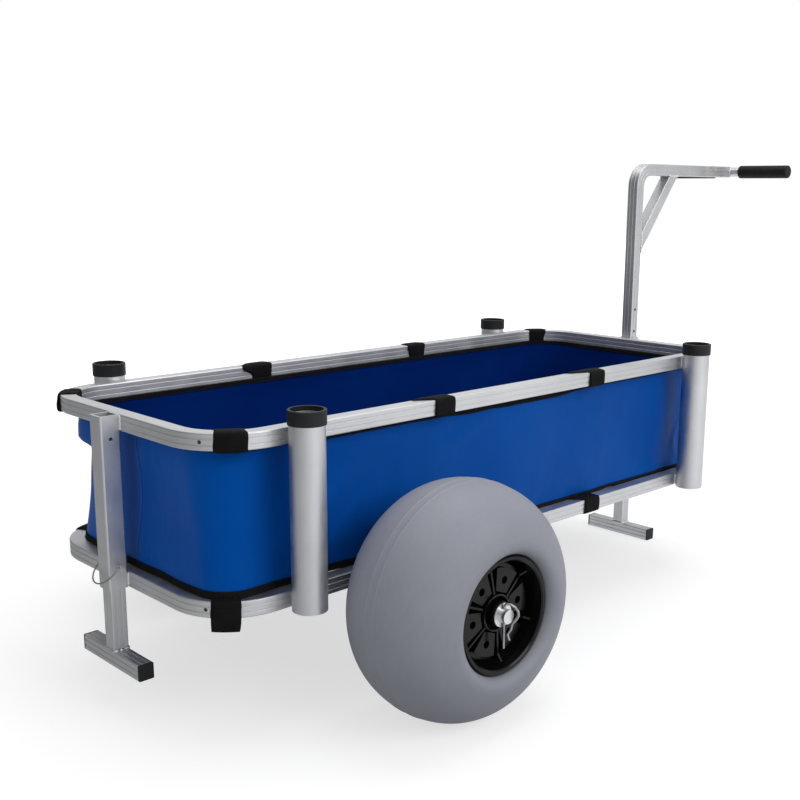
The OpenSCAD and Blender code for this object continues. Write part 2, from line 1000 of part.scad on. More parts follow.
// The bail swings on its end, which passes through the pin's head, and reaches round the socket
module bail(is_rear, level) {
    framed(steel)
    pin_place(is_rear, level)
        rotate([0, bail_tilt, 0]) {
            translate([0, -bail_y, -bail_lift])
                cylinder(h = 2 * bail_lift, d = bail_wire, $fn = 24);
            translate([0, -bail_y, bail_lift])
                sphere(d = bail_wire * knuckle, $fn = 24);
            translate([bail_offset, bail_mid_y, bail_lift])
                rotate(-bail_half_angle)
                    rotate_extrude(angle = 2 * bail_half_angle)
                        translate([bail_radius, 0])
                            circle(d = bail_wire, $fn = 24);
        }
}

// Liner and straps

module liner() {
    framed(liner_blue)
    difference() {
        translate([0, 0, liner_low])
            linear_extrude(liner_high - liner_low)
                liner_plate(0);
        translate([0, 0, liner_low + liner_wall])
            linear_extrude(basket_height)
                liner_plate(-liner_wall);
    }
}

module liner_top_binding() {
    framed(webbing)
    difference() {
        translate([0, 0, binding_high - top_binding])
            linear_extrude(top_binding)
                difference() {
                    liner_plate(binding_wall);
                    liner_plate(-liner_wall - binding_wall);
                }
        translate([0, 0, liner_high - basket_height])
            linear_extrude(basket_height)
                difference() {
                    liner_plate(0);
                    liner_plate(-liner_wall);
                }
    }
}

module liner_bottom_binding() {
    framed(webbing)
    translate([0, 0, liner_low])
        linear_extrude(bottom_binding)
            difference() {
                liner_plate(binding_wall);
                liner_plate(0);
            }
}

// A strap's section round the tube, with its outward side on the right
module strap_section(tail) {
    difference() {
        square(strap_outer, center = true);
        square(strap_inner, center = true);
    }
    if (tail > 0)
        translate([strap_inner / 2, -strap_outer / 2 - tail])
            square([strap_wall, tail + overcut]);
}

module side_strap(place, is_far, tail) {
    far_side(!is_far)
    translate([place, rail_y, 0])
        rotate([90, 0, 90])
            linear_extrude(strap_width, center = true)
                strap_section(tail);
}

module corner_strap(is_rear, is_far, middle, tail) {
    rear_end(is_rear)
    far_side(!is_far)
    translate([corner_x, corner_y, 0])
        rotate(middle - strap_corner_angle / 2)
            rotate_extrude(angle = strap_corner_angle)
                translate([corner_radius - tube / 2, 0])
                    strap_section(tail);
}

module straps(level, middle, tail) {
    framed(webbing)
    translate([0, 0, level])
        for (is_rear = [false, true], is_far = [false, true]) {
            side_strap((is_rear ? 1 : -1) * strap_x, is_far, tail);
            corner_strap(is_rear, is_far, middle, tail);
        }
}

module top_straps() {
    straps(top_mid, top_corner_strap, 0);
}

module bottom_straps() {
    straps(bottom_mid, bottom_corner_strap, strap_tail);
}

top_ring();
bottom_ring();
floor_bar(bar_places[0]);  // floor_bar_front
floor_bar(bar_places[1]);  // floor_bar_middle
floor_bar(bar_places[2]);  // floor_bar_rear
socket(false);  // socket_front
socket(true);  // socket_rear
rod_holder(false, false);  // rod_holder_front_near
rod_holder(false, true);  // rod_holder_front_far
rod_holder(true, false);  // rod_holder_rear_near
rod_holder(true, true);  // rod_holder_rear_far
holder_cap(false, false);  // holder_cap_front_near
holder_cap(false, true);  // holder_cap_front_far
holder_cap(true, false);  // holder_cap_rear_near
holder_cap(true, true);  // holder_cap_rear_far
axle();
axle_clamp(false);  // axle_clamp_near
axle_clamp(true);  // axle_clamp_far
clamp_bolts();
axle_spacer(false);  // axle_spacer_near
axle_spacer(true);  // axle_spacer_far
washer(false);  // washer_near
washer(true);  // washer_far
r_clip(false);  // r_clip_near
r_clip(true);  // r_clip_far
rim(false);  // rim_near
tyre(false);  // tyre_near
bush(false, false);  // bush_outer_near
bush(false, true);  // bush_inner_near
rim(true);  // rim_far
tyre(true);  // tyre_far
bush(true, false);  // bush_outer_far
bush(true, true);  // bush_inner_far
leg_tube(false);  // leg_tube_front
foot_bar(false);  // foot_bar_front
foot_plugs(false);  // foot_plugs_front
leg_tube(true);  // leg_tube_rear
foot_bar(true);  // foot_bar_rear
foot_plugs(true);  // foot_plugs_rear
handle_post();
handle_brace();
handle_bar();
grip(false);  // grip_near
grip(true);  // grip_far
lock_pin(false, leg_pin_z);  // leg_pin_front
bail(false, leg_pin_z);  // leg_bail_front
lock_pin(true, leg_pin_z);  // leg_pin_rear
bail(true, leg_pin_z);  // leg_bail_rear
lock_pin(true, handle_pin_z);  // handle_pin
bail(true, handle_pin_z);  // handle_bail
liner();
liner_top_binding();
liner_bottom_binding();
top_straps();
bottom_straps();
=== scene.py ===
"""A beach fishing trolley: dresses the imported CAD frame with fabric, tyres, welds and materials."""

import json
import math

import bmesh
import bpy
from mathutils import Matrix, Vector


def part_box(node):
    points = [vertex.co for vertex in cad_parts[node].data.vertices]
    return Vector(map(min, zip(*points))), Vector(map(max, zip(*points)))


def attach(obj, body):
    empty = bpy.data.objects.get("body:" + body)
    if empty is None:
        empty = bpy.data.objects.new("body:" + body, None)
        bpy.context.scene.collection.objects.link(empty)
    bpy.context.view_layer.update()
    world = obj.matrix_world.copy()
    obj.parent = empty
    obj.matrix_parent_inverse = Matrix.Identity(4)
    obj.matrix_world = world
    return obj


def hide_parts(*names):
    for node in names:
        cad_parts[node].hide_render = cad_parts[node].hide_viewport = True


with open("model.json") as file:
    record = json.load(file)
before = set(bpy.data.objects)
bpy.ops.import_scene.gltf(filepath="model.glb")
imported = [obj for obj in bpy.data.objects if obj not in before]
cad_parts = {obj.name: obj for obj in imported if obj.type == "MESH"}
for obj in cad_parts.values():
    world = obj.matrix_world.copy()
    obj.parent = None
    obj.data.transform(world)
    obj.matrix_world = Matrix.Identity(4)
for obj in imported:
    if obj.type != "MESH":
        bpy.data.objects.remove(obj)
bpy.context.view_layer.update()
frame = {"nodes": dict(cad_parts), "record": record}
MM = 0.001
TAU = 2 * math.pi

# Camera, fitted to the photograph: millimetres from the basket's middle and above the underside of
# the bottom ring, degrees and pixels
CAMERA_FROM_BASKET = (-1243.956, -1280.166, 522.231)
CAMERA_YAW = -44.4604
CAMERA_PITCH = 12.5132
CAMERA_ROLL = 0.42181
FOCAL_PIXELS = 1095.386
PRINCIPAL_POINT = (428.50, 431.56)
IMAGE_SIZE = 800
SENSOR = 36.0


# Places, all read from the frame

def middle(node):
    low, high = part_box(node)
    return Vector([(a + b) / 2 for a, b in zip(low, high)])


RING_LOW, RING_HIGH = (Vector(corner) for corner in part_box("top_ring"))
BASKET_X, BASKET_Y = middle("top_ring")[:2]
HALF_LENGTH = (RING_HIGH.x - RING_LOW.x) / 2
HALF_WIDTH = (RING_HIGH.y - RING_LOW.y) / 2
TUBE = RING_HIGH.z - RING_LOW.z
CORNER = 90 * MM
TOP_MID = (RING_HIGH.z + RING_LOW.z) / 2
BOTTOM_MID = middle("bottom_ring").z
RING_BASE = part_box("bottom_ring")[0][2]


def level(height):
    """A height in millimetres above the underside of the bottom ring."""
    return RING_BASE + height * MM


# Meshes

def new_object(name, verts, faces, material, smooth=True):
    mesh = bpy.data.meshes.new(name)
    mesh.from_pydata([tuple(v) for v in verts], [], faces)
    mesh.validate()
    bm = bmesh.new()
    bm.from_mesh(mesh)
    bmesh.ops.recalc_face_normals(bm, faces=bm.faces)
    bm.to_mesh(mesh)
    bm.free()
    for polygon in mesh.polygons:
        polygon.use_smooth = smooth
    mesh.materials.append(material)
    obj = bpy.data.objects.new(name, mesh)
    bpy.context.scene.collection.objects.link(obj)
    return obj


def grid_faces(rows, columns, close_rows=False, close_columns=False, start=0):
    """Quads of a grid of points held row by row."""
    faces = []
    for r in range(rows if close_rows else rows - 1):
        for c in range(columns if close_columns else columns - 1):
            a, b = r % rows, (r + 1) % rows
            left, right = c % columns, (c + 1) % columns
            faces.append([start + k for k in (a * columns + left, a * columns + right,
                                              b * columns + right, b * columns + left)])
    return faces


def smoothstep(x, low, high):
    t = min(max((x - low) / (high - low), 0.0), 1.0)
    return t * t * (3 - 2 * t)


def wrap_distance(a, b, period):
    """The signed way from b to a round a closed line."""
    return (a - b + period / 2) % period - period / 2


def bump_at(x, place, width):
    """A smooth hump of height 1 at a place."""
    return math.exp(-((x - place) / width) ** 2)


# The basket's closed line

NEAREST_STEPS = 2400


class BasketLine:
    """A rectangle with round corners, inset from the rings' outer face. Lengths run
    anticlockwise from the middle of the rear end, measured on the line itself."""

    def __init__(self, inset):
        self.inset = inset
        self.radius = CORNER - inset
        self.end = HALF_WIDTH - CORNER
        self.side = HALF_LENGTH - CORNER
        self.arc = self.radius * math.pi / 2
        self.length = 4 * (self.end + self.side + self.arc)

    def at(self, s, tighter=0.0):
        """Point and outward normal at a length s, with the corners' radius smaller by tighter."""
        s = s % self.length
        quarter_spans = ((self.end, self.side), (self.side, self.end)) * 2
        for index, (before, after) in enumerate(quarter_spans):
            if s <= before:
                return self._corner(index, Vector((self.radius, s - before)), 0.0)
            s -= before
            if s <= self.arc:
                return self._turn(index, s / self.arc, tighter)
            s -= self.arc
            if s <= after:
                return self._corner(index, Vector((-s, self.radius)), math.pi / 2)
            s -= after
        return self._corner(3, Vector((-after, self.radius)), math.pi / 2)

    def _turn(self, index, share, tighter):
        """A point of a corner: a straight run, the arc of the smaller radius, a straight run."""
        radius = self.radius - tighter
        arc = radius * math.pi / 2
        way = share * (2 * tighter + arc)
        if way < tighter:
            return self._corner(index, Vector((self.radius, way)), 0.0)
        if way < tighter + arc:
            angle = (way - tighter) / radius
            offset = Vector((tighter + radius * math.cos(angle), tighter + radius * math.sin(angle)))
            return self._corner(index, offset, angle)
        return self._corner(index, Vector((2 * tighter + arc - way, self.radius)), math.pi / 2)

    def _corner(self, index, offset, angle):
        """Turns a first quadrant's offset from its corner's centre into the quadrant of the index."""
        signs = ((1, 1), (-1, 1), (-1, -1), (1, -1))[index]
        turn = index * math.pi / 2
        c, s = math.cos(turn), math.sin(turn)
        point = Vector((signs[0] * self.side + c * offset.x - s * offset.y,
                        signs[1] * self.end + s * offset.x + c * offset.y))
        normal = Vector((math.cos(turn + angle), math.sin(turn + angle)))
        return Vector((BASKET_X + point.x, BASKET_Y + point.y)), normal

    def nearest(self, x, y):
        """The length along the line that lies nearest to a point from the basket's middle."""
        target = Vector((BASKET_X + x, BASKET_Y + y))
        return min((self.length * k / NEAREST_STEPS for k in range(NEAREST_STEPS)),
                   key=lambda s: (self.at(s)[0] - target).length)

    def at_corner(self, end, side, degrees):
        """The length at an angle round a corner, from the end towards the side."""
        angle = math.radians(degrees)
        x = end * (self.side + CORNER * math.cos(angle))
        y = side * (self.end + CORNER * math.sin(angle))
        return self.nearest(x, y)


# Node materials

def material(name):
    made = bpy.data.materials.new(name)
    made.use_nodes = True
    tree = made.node_tree
    shader = tree.nodes["Principled BSDF"]
    return made, tree, shader


def add_node(tree, kind, **values):
    node = tree.nodes.new(kind)
    for key, value in values.items():
        if key in node.inputs:
            node.inputs[key].default_value = value
        else:
            setattr(node, key, value)
    return node


def object_coords(tree, scale=(1, 1, 1)):
    """Object coordinates, scaled."""
    coords = add_node(tree, "ShaderNodeTexCoord")
    mapping = add_node(tree, "ShaderNodeMapping")
    mapping.inputs["Scale"].default_value = scale
    tree.links.new(coords.outputs["Object"], mapping.inputs["Vector"])
    return mapping.outputs["Vector"]


def noise(tree, vector, scale, detail=3.0, roughness=0.5):
    node = add_node(tree, "ShaderNodeTexNoise", Scale=scale, Detail=detail, Roughness=roughness)
    tree.links.new(vector, node.inputs["Vector"])
    return node.outputs["Fac"]


def ramp(tree, factor, stops):
    """A colour ramp through (place, colour) stops."""
    node = add_node(tree, "ShaderNodeValToRGB")
    elements = node.color_ramp.elements
    while len(elements) < len(stops):
        elements.new(0.5)
    for element, (where, colour) in zip(elements, stops):
        element.position = where
        element.color = (*colour, 1.0)
    tree.links.new(factor, node.inputs["Fac"])
    return node.outputs["Color"]


def span(tree, factor, low, high, start=0.0, end=1.0):
    """Maps start..end to low..high."""
    node = add_node(tree, "ShaderNodeMapRange")
    node.inputs["From Min"].default_value = start
    node.inputs["From Max"].default_value = end
    node.inputs["To Min"].default_value = low
    node.inputs["To Max"].default_value = high
    tree.links.new(factor, node.inputs["Value"])
    return node.outputs["Result"]


def combine(tree, operation, first, second):
    """A Math node on two values, each a socket or a number."""
    node = add_node(tree, "ShaderNodeMath", operation=operation)
    for index, value in enumerate((first, second)):
        if isinstance(value, (int, float)):
            node.inputs[index].default_value = value
        else:
            tree.links.new(value, node.inputs[index])
    return node.outputs["Value"]


def bump(tree, height, strength, distance, normal=None):
    node = add_node(tree, "ShaderNodeBump", Strength=strength, Distance=distance)
    tree.links.new(height, node.inputs["Height"])
    if normal is not None:
        tree.links.new(normal, node.inputs["Normal"])
    return node.outputs["Normal"]


def blend(tree, first, second, share):
    """Two values mixed, with the first one's share."""
    return combine(tree, "ADD", combine(tree, "MULTIPLY", first, share),
                   combine(tree, "MULTIPLY", second, 1 - share))


GRAIN_SCALE = 320.0
DRAW_STRETCH = 0.05
GRAIN_STRETCHES = {
    "x": (DRAW_STRETCH, 1, 1),
    "y": (1, DRAW_STRETCH, 1),
    "z": (1, 1, DRAW_STRETCH),
    "any": (1, 1, 1),
}
RING_BEND_START = HALF_LENGTH - 60 * MM
RING_BEND_END = HALF_LENGTH - 25 * MM


def surface(tree, shader, colour, roughness, normal):
    """Links a shader's colour, roughness and normal."""
    for socket, value in (("Base Color", colour), ("Roughness", roughness), ("Normal", normal)):
        tree.links.new(value, shader.inputs[socket])


def grain_along(tree, run):
    return noise(tree, object_coords(tree, GRAIN_STRETCHES[run]), GRAIN_SCALE, 2.0, 0.6)


def drawn_grain(tree, run):
    """Fine lines along the way a tube was drawn: x, y, z, or the sides and ends of a ring."""
    if run != "ring":
        return grain_along(tree, run)
    parts = add_node(tree, "ShaderNodeSeparateXYZ")
    tree.links.new(object_coords(tree), parts.inputs["Vector"])
    from_middle = combine(tree, "ABSOLUTE", combine(tree, "SUBTRACT", parts.outputs["X"], BASKET_X), 0.0)
    share = span(tree, from_middle, 0.0, 1.0, RING_BEND_START, RING_BEND_END)
    mix = add_node(tree, "ShaderNodeMix")
    tree.links.new(share, mix.inputs[0])
    tree.links.new(grain_along(tree, "x"), mix.inputs[2])
    tree.links.new(grain_along(tree, "y"), mix.inputs[3])
    return mix.outputs[0]


def metal(name, dark, light, rough_low, rough_high, run="any"):
    """Drawn or plated metal: clouds of tone, fine grain lines and smudges."""
    made, tree, shader = material(name)
    clouds = noise(tree, object_coords(tree), 9.0, 5.0)
    grain = drawn_grain(tree, run)
    smudges = noise(tree, object_coords(tree), 34.0, 4.0, 0.6)
    tone = blend(tree, clouds, grain, 0.75)
    surface(tree, shader, ramp(tree, tone, [(0.32, dark), (0.68, light)]),
            span(tree, smudges, rough_low, rough_high, 0.3, 0.7), bump(tree, grain, 0.10, 0.0002))
    shader.inputs["Metallic"].default_value = 1.0
    return made


def moulded(name, dark, light, rough_low, rough_high, grain, depth, specular):
    """Moulded plastic or rubber: fine orange-peel grain with soft clouds of tone."""
    made, tree, shader = material(name)
    clouds = noise(tree, object_coords(tree), 25.0, 4.0)
    fine = noise(tree, object_coords(tree), grain, 2.0, 0.6)
    surface(tree, shader, ramp(tree, clouds, [(0.3, dark), (0.7, light)]),
            span(tree, clouds, rough_low, rough_high), bump(tree, fine, 0.25, depth))
    shader.inputs["Specular IOR Level"].default_value = specular
    return made


def tyre_material(name):
    """Soft grey tyre skin: pale bloom, fine pores and faint scuffs."""
    made, tree, shader = material(name)
    bloom = noise(tree, object_coords(tree), 7.0, 4.0, 0.55)
    pores = noise(tree, object_coords(tree), 800.0, 2.0, 0.6)
    scuffs = noise(tree, object_coords(tree, (1, 6, 1)), 60.0, 3.0, 0.7)
    tone = blend(tree, bloom, scuffs, 0.7)
    surface(tree, shader, ramp(tree, tone, [(0.35, TYRE_DARK), (0.65, TYRE_LIGHT)]),
            span(tree, scuffs, 0.46, 0.62, 0.3, 0.7), bump(tree, pores, 0.2, 0.0002))
    shader.inputs["Specular IOR Level"].default_value = 0.35
    return made


def coated_fabric(name, dark, light, specular):
    """Blue coated cloth: a tight weave under a smooth coat, soft wrinkles and a broad sheen."""
    made, tree, shader = material(name)
    vector = object_coords(tree)
    clouds = noise(tree, vector, 5.0, 4.0)
    weave = noise(tree, vector, 900.0, 2.0)
    wrinkles = noise(tree, object_coords(tree, (1, 1, 0.6)), 13.0, 3.0, 0.45)
    soft = bump(tree, wrinkles, 0.5, 0.006)
    surface(tree, shader, ramp(tree, clouds, [(0.3, dark), (0.7, light)]),
            span(tree, weave, 0.36, 0.48), bump(tree, weave, 0.12, 0.0003, soft))
    shader.inputs["Specular IOR Level"].default_value = specular
    shader.inputs["Specular Tint"].default_value = (*COAT_TINT, 1.0)
    shader.inputs["IOR"].default_value = COAT_IOR
    return made


def webbing_material(name):
    """Black woven tape: fine fibres and soft clouds of tone."""
    made, tree, shader = material(name)
    vector = object_coords(tree)
    fibres = noise(tree, vector, 1500.0, 2.0, 0.7)
    clouds = noise(tree, vector, 60.0, 3.0)
    surface(tree, shader, ramp(tree, clouds, [(0.3, WEBBING_DARK), (0.7, WEBBING_LIGHT)]),
            span(tree, fibres, 0.75, 0.95), bump(tree, fibres, 0.5, 0.0005))
    shader.inputs["Specular IOR Level"].default_value = 0.12
    return made


COAT_TINT = (0.08, 0.42, 1.0)
COAT_IOR = 1.18
LINER_DARK = (0.0010, 0.066, 0.340)
LINER_LIGHT = (0.0014, 0.082, 0.400)
# Painted shade: the inside faces and the floor panel take a darker blue that stands in for the shade inside
# the basket.
INSIDE_PAINTED_SHADE_DARK = (0.0008, 0.017, 0.135)
INSIDE_PAINTED_SHADE_LIGHT = (0.0010, 0.024, 0.170)
WEBBING_DARK = (0.0045, 0.0045, 0.005)
WEBBING_LIGHT = (0.008, 0.008, 0.009)
TYRE_DARK = (0.245, 0.258, 0.305)
TYRE_LIGHT = (0.290, 0.300, 0.345)
ALUMINIUM_DARK = (0.57, 0.58, 0.60)
ALUMINIUM_LIGHT = (0.65, 0.66, 0.675)

ALUMINIUM = {run: metal(f"drawn_aluminium_{run}", ALUMINIUM_DARK, ALUMINIUM_LIGHT, 0.40, 0.54, run)
             for run in ("x", "y", "z", "ring", "any")}
WELD = metal("weld_metal", (0.62, 0.63, 0.64), (0.80, 0.81, 0.82), 0.25, 0.5)
STEEL = metal("zinc_steel", (0.66, 0.66, 0.67), (0.80, 0.80, 0.80), 0.24, 0.38)
WIRE_STEEL = metal("wire_steel", (0.30, 0.30, 0.31), (0.40, 0.40, 0.41), 0.28, 0.40)
RIM_PLASTIC = moulded("rim_plastic", (0.003, 0.003, 0.0035), (0.006, 0.006, 0.0065),
                      0.13, 0.24, grain=600.0, depth=0.0001, specular=0.20)
CAP_PLASTIC = moulded("cap_plastic", (0.007, 0.0075, 0.009), (0.012, 0.0125, 0.014),
                      0.45, 0.6, grain=900.0, depth=0.0003, specular=0.3)
GRIP_RUBBER = moulded("grip_rubber", (0.006, 0.006, 0.007), (0.010, 0.010, 0.011),
                      0.55, 0.7, grain=1400.0, depth=0.0004, specular=0.25)
THREAD = moulded("thread", (0.016, 0.016, 0.018), (0.024, 0.024, 0.027),
                 0.6, 0.8, grain=2000.0, depth=0.0001, specular=0.2)
TYRE_RUBBER = tyre_material("tyre_rubber")
LINER_CLOTH = coated_fabric("liner_cloth", LINER_DARK, LINER_LIGHT, specular=0.7)
# The inside cloth's darker colour is painted shade for the inside of the basket.
INSIDE_PAINTED_SHADE_CLOTH = coated_fabric("liner_inside_painted_shade", INSIDE_PAINTED_SHADE_DARK, INSIDE_PAINTED_SHADE_LIGHT, specular=0.2)
WEBBING = webbing_material("webbing")

SLOT_MATERIALS = {
    "aluminium": ALUMINIUM["any"],
    "steel": STEEL,
    "rim_plastic": RIM_PLASTIC,
    "cap_plastic": CAP_PLASTIC,
    "grip_rubber": GRIP_RUBBER,
    "tyre_grey": TYRE_RUBBER,
    "liner_fabric": LINER_CLOTH,
    "black_webbing": WEBBING,
}

DRAWN_ALONG = {
    "top_ring": "ring", "bottom_ring": "ring",
    "floor_bar": "y", "foot_bar": "y", "handle_bar": "y",
    "socket": "z", "rod_holder": "z", "leg_tube": "z", "handle_post": "z", "handle_brace": "z",
}


def dress_cad_nodes():
    slots = {part["node"]: part["material_slot"] for part in frame["record"]["subparts"]}
    for name, node in frame["nodes"].items():
        runs = [run for start, run in DRAWN_ALONG.items() if name.startswith(start)]
        finish = ALUMINIUM[runs[0]] if runs else SLOT_MATERIALS[slots[name]]
        finish = WIRE_STEEL if "bail" in name or "clip" in name else finish
        for index in range(len(node.material_slots)):
            node.material_slots[index].material = finish


def shown(obj, body, slot, *nodes):
    """Attaches a piece to the body it rides and hides the CAD nodes that it replaces. slot is not used."""
    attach(obj, body)
    if nodes:
        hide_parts(*nodes)


# Straps' places

STRAP_HALF = 19 * MM
TOP_CORNER_HALF = 18.0 * MM
BOTTOM_CORNER_HALF = 16.4 * MM
FOLDED_CORNER = (-1, 1)

# Degrees round a corner, from the end towards the side
TOP_CORNER, TOP_FOLDED = 56, 36
BOTTOM_CORNER, BOTTOM_FOLDED = 48, 66

# Keys are (a side strap's x in millimetres, side) or (end, side) for a corner, with -1 for the front end
# and the near side. Values are the lower flare, the upper flare and the slack, in millimetres.
TOP_FLARES = {
    (-171, -1): (26, 0, 1.2), (177, -1): (34, 5, 1.2), (-184, 1): (2, 18, 1.2), (172, 1): (3, 3, 1.2),
    (-1, -1): (3, 0, 1.5), (1, -1): (3, 3, 1.2), (-1, 1): (4, 2, 4.6), (1, 1): (5, 0, 1.2),
}
BOTTOM_FLARES = {
    (-175, -1): (4, 0, 1.0), (177, -1): (16, 0, 1.0), (-175, 1): (0, 4, 1.0), (175, 1): (3, 3, 1.0),
    (-1, -1): (4, 4, 1.2), (1, -1): (3, 3, 1.0), (-1, 1): (3, 3, 1.0), (1, 1): (3, 3, 1.0),
}


def strap_table(line, corner_degrees, folded_degrees, flares):
    """Every strap of a ring as (length along the line, lower flare, upper flare, slack, at a corner)."""
    table = []
    for (x, y), flare in flares.items():
        at_corner = abs(x) == 1
        if at_corner:
            s = line.at_corner(x, y, folded_degrees if (x, y) == FOLDED_CORNER else corner_degrees)
        else:
            s = line.nearest(x * MM, y * HALF_WIDTH)
        table.append((s, *[value * MM for value in flare], at_corner))
    return table


# Liner

LINER_INSET = TUBE + 0.5 * MM
LINER_THICKNESS = 1.2 * MM
LINER_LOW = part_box("liner")[0][2]
LINER_ROWS = 44
LINER_COLUMNS = 420
FLOOR_RINGS = 14
FLOOR_RIPPLE = 0.8 * MM
TIGHTER_BOTTOM = 27 * MM

# The top binding's edges above the rings' base, and how far they drop, in millimetres. The rows of
# metres say between which x a share grows or fades.
TOP_EDGE = 213.9
TOP_BINDING_LOW = 206.3
STRAP_DROP = 0.5
SPAN_DROP, SPAN_WAVE = 0.3, 0.24
LOOSE_DROP = 3.5
SAG_DROP, SAG_DROP_TOP = 3.7, 1.6
LOOSE_FROM, FIRMER_FROM, FIRMER_BY = (-0.46, -0.36), (0.12, 0.20), 0.45
SAG_FROM, SAG_TO = (-0.165, -0.09), (0.10, 0.168)
TUCKED_FROM = (-0.10, 0.15)
STRAP_REACH, SPAN_REACH = 34 * MM, (35 * MM, 165 * MM)

# The stitched seam of each end: its y, and how it wanders and stands out
SEAMS = {-1: -15 * MM, 1: 13 * MM}
SEAM_WANDER = 5 * MM
SEAM_HEIGHT = 0.55 * MM
SEAM_HALF = 1.3 * MM
SEAM_COLUMNS = 12
SEAM_PITCH = 0.8 * MM
END_WALL = HALF_LENGTH - 40 * MM

# The folded corner: where its middle lies round the corner, its half width, and its depth in millimetres
FOLD_TURN = 2 / 3
FOLD_HALF = 62 * MM
FOLD_DEPTH, FOLD_GROWTH, FOLD_RISE = 6.5, 13, 145
FOLD_FADE = (131, 146)

# Millimetres that the wall stands out, and the waves (size, rate along, phase, twist up the wall)
BELLY_PUSH = 1.2
FOOT_PUSH, FOOT_NEAR, FOOT_TUCKED, FOOT_FRONT, FOOT_REAR, FOOT_FAR = 2.5, 2.0, 6.5, 2.7, 2.0, 3.0
TOP_PULL = 1.3
WALL_SPAN = 185
WALL_WAVES = ((1.9, 15.0, 0.0, 2.1), (1.1, 33.0, 1.3, -1.2))
FOOT_WAVE, FOOT_WAVE_RATE = 0.7, 71.0
FOOT_HEIGHT, TOP_PULL_FROM = 0.42, (0.86, 0.96)

# The near side's slanted folds: push in millimetres, x and half width in metres, the height in
# millimetres where x is read, millimetres up per metre along, and middle and half height in millimetres
SLANTED_FOLDS = (
    (2.6, -0.372, 0.022, 95, 900, 100, 38),
    (-1.8, -0.327, 0.020, 95, 900, 80, 34),
    (1.6, -0.100, 0.030, 150, 500, 150, 26),
)


def near_side(normal):
    """1 on the near side, falling quickly round its corners."""
    return max(-normal.y, 0.0) ** 4


def tucked_in(x, normal):
    """1 where the near side's foot is drawn in, from the middle to the rear."""
    return near_side(normal) * smoothstep(x, *TUCKED_FROM)


def strap_nearness(line, s, places):
    """Two shares: 1 at a strap, and 1 in the middle of a wide span between two straps."""
    nearest = min(abs(wrap_distance(s, row[0], line.length)) for row in places)
    return bump_at(nearest, 0, STRAP_REACH), smoothstep(nearest, *SPAN_REACH)


def top_edges(line, s, places):
    """Low and high edge of the top binding. It is loose along the near side and sags in its middle."""
    at_strap, between = strap_nearness(line, s, places)
    point, normal = line.at(s)
    x = point.x - BASKET_X
    near = near_side(normal)
    loose = near * smoothstep(x, *LOOSE_FROM) * (1 - FIRMER_BY * smoothstep(x, *FIRMER_FROM))
    sag = near * smoothstep(x, *SAG_FROM) * (1 - smoothstep(x, *SAG_TO))
    drop = STRAP_DROP * at_strap + (SPAN_DROP + SPAN_WAVE * math.sin(9 * s + 0.7)) * between
    drop += LOOSE_DROP * loose + SAG_DROP * sag
    return level(TOP_BINDING_LOW - drop), level(TOP_EDGE - SAG_DROP_TOP * sag)


def near_folds(x, z, height, near, belly):
    """The near side's soft folds, in millimetres: a crease and ridge at the rear corner, a bulge and
    a hollow at the front, and slanted folds. z is the height in millimetres."""
    valley = bump_at(x, 0.452, 0.024) * smoothstep(height, 0.12, 0.4)
    ridge_x = 0.444 + 0.017 * ((z - 49) / 32) ** 2
    push = -2.4 * valley + 2.2 * bump_at(x, ridge_x, 0.005) * bump_at(z, 46, 34)
    bulge = bump_at(height, 0.42, 0.22) - 1.4 * bump_at(height, 0.05, 0.16)
    push += 3.0 * bump_at(x, -0.37, 0.09) * bulge - 3.5 * bump_at(x, -0.455, 0.03) * belly
    for size, fold_x, half, read_at, slope, middle_z, half_z in SLANTED_FOLDS:
        slanted = x - (z - read_at) / slope
        push += size * near * bump_at(slanted, fold_x, half) * bump_at(z, middle_z, half_z)
    return push


def liner_push(x, y, normal, height, s, fold):
    """How far the wall stands out from its flat place, in metres. x and y are from the basket's
    middle, height runs from 0 at the floor to 1 at the top edge, and fold is 1 in the folded corner."""
    near, far = max(-normal.y, 0.0), max(normal.y, 0.0)
    front, rear = max(-normal.x, 0.0), max(normal.x, 0.0)
    belly = math.sin(math.pi * height) ** 0.8
    foot = 1 - smoothstep(height, 0.0, FOOT_HEIGHT)
    z = height * WALL_SPAN
    push = BELLY_PUSH * belly + FOOT_PUSH * foot - TOP_PULL * smoothstep(height, *TOP_PULL_FROM)
    push += foot * (FOOT_NEAR * near ** 4 + FOOT_FRONT * front ** 4 + FOOT_REAR * rear ** 4
                    + FOOT_FAR * far ** 4 - FOOT_TUCKED * tucked_in(x, normal))
    push -= fold * (FOLD_DEPTH + FOLD_GROWTH * z / FOLD_RISE) * (1 - smoothstep(z, *FOLD_FADE))
    push += belly * sum(size * math.sin(rate * s + phase + twist * height)
                        for size, rate, phase, twist in WALL_WAVES)
    push += FOOT_WAVE * bump_at(height, 0.06, 0.10) * math.sin(FOOT_WAVE_RATE * s)
    if y < 0:
        push += near_folds(x, z, height, near, belly)
    return push * MM


def seam_ridge(x, y, height):
    """The stitched join up the middle of each end."""
    if abs(x) <= END_WALL:
        return 0.0
    middle_y = SEAMS[-1 if x < 0 else 1] + SEAM_WANDER * math.sin(7.4 * height + 0.6)
    return SEAM_HEIGHT * bump_at(y, middle_y, SEAM_HALF)


def liner_columns(line):
    """Lengths of the wall's columns, closer together at the two seams."""
    columns = [line.length * k / LINER_COLUMNS for k in range(LINER_COLUMNS)]
    for end, seam_y in SEAMS.items():
        middle_s = line.nearest(end * HALF_LENGTH, seam_y)
        columns += [(middle_s + k * SEAM_PITCH) % line.length
                    for k in range(-SEAM_COLUMNS, SEAM_COLUMNS + 1)]
    return sorted(columns)


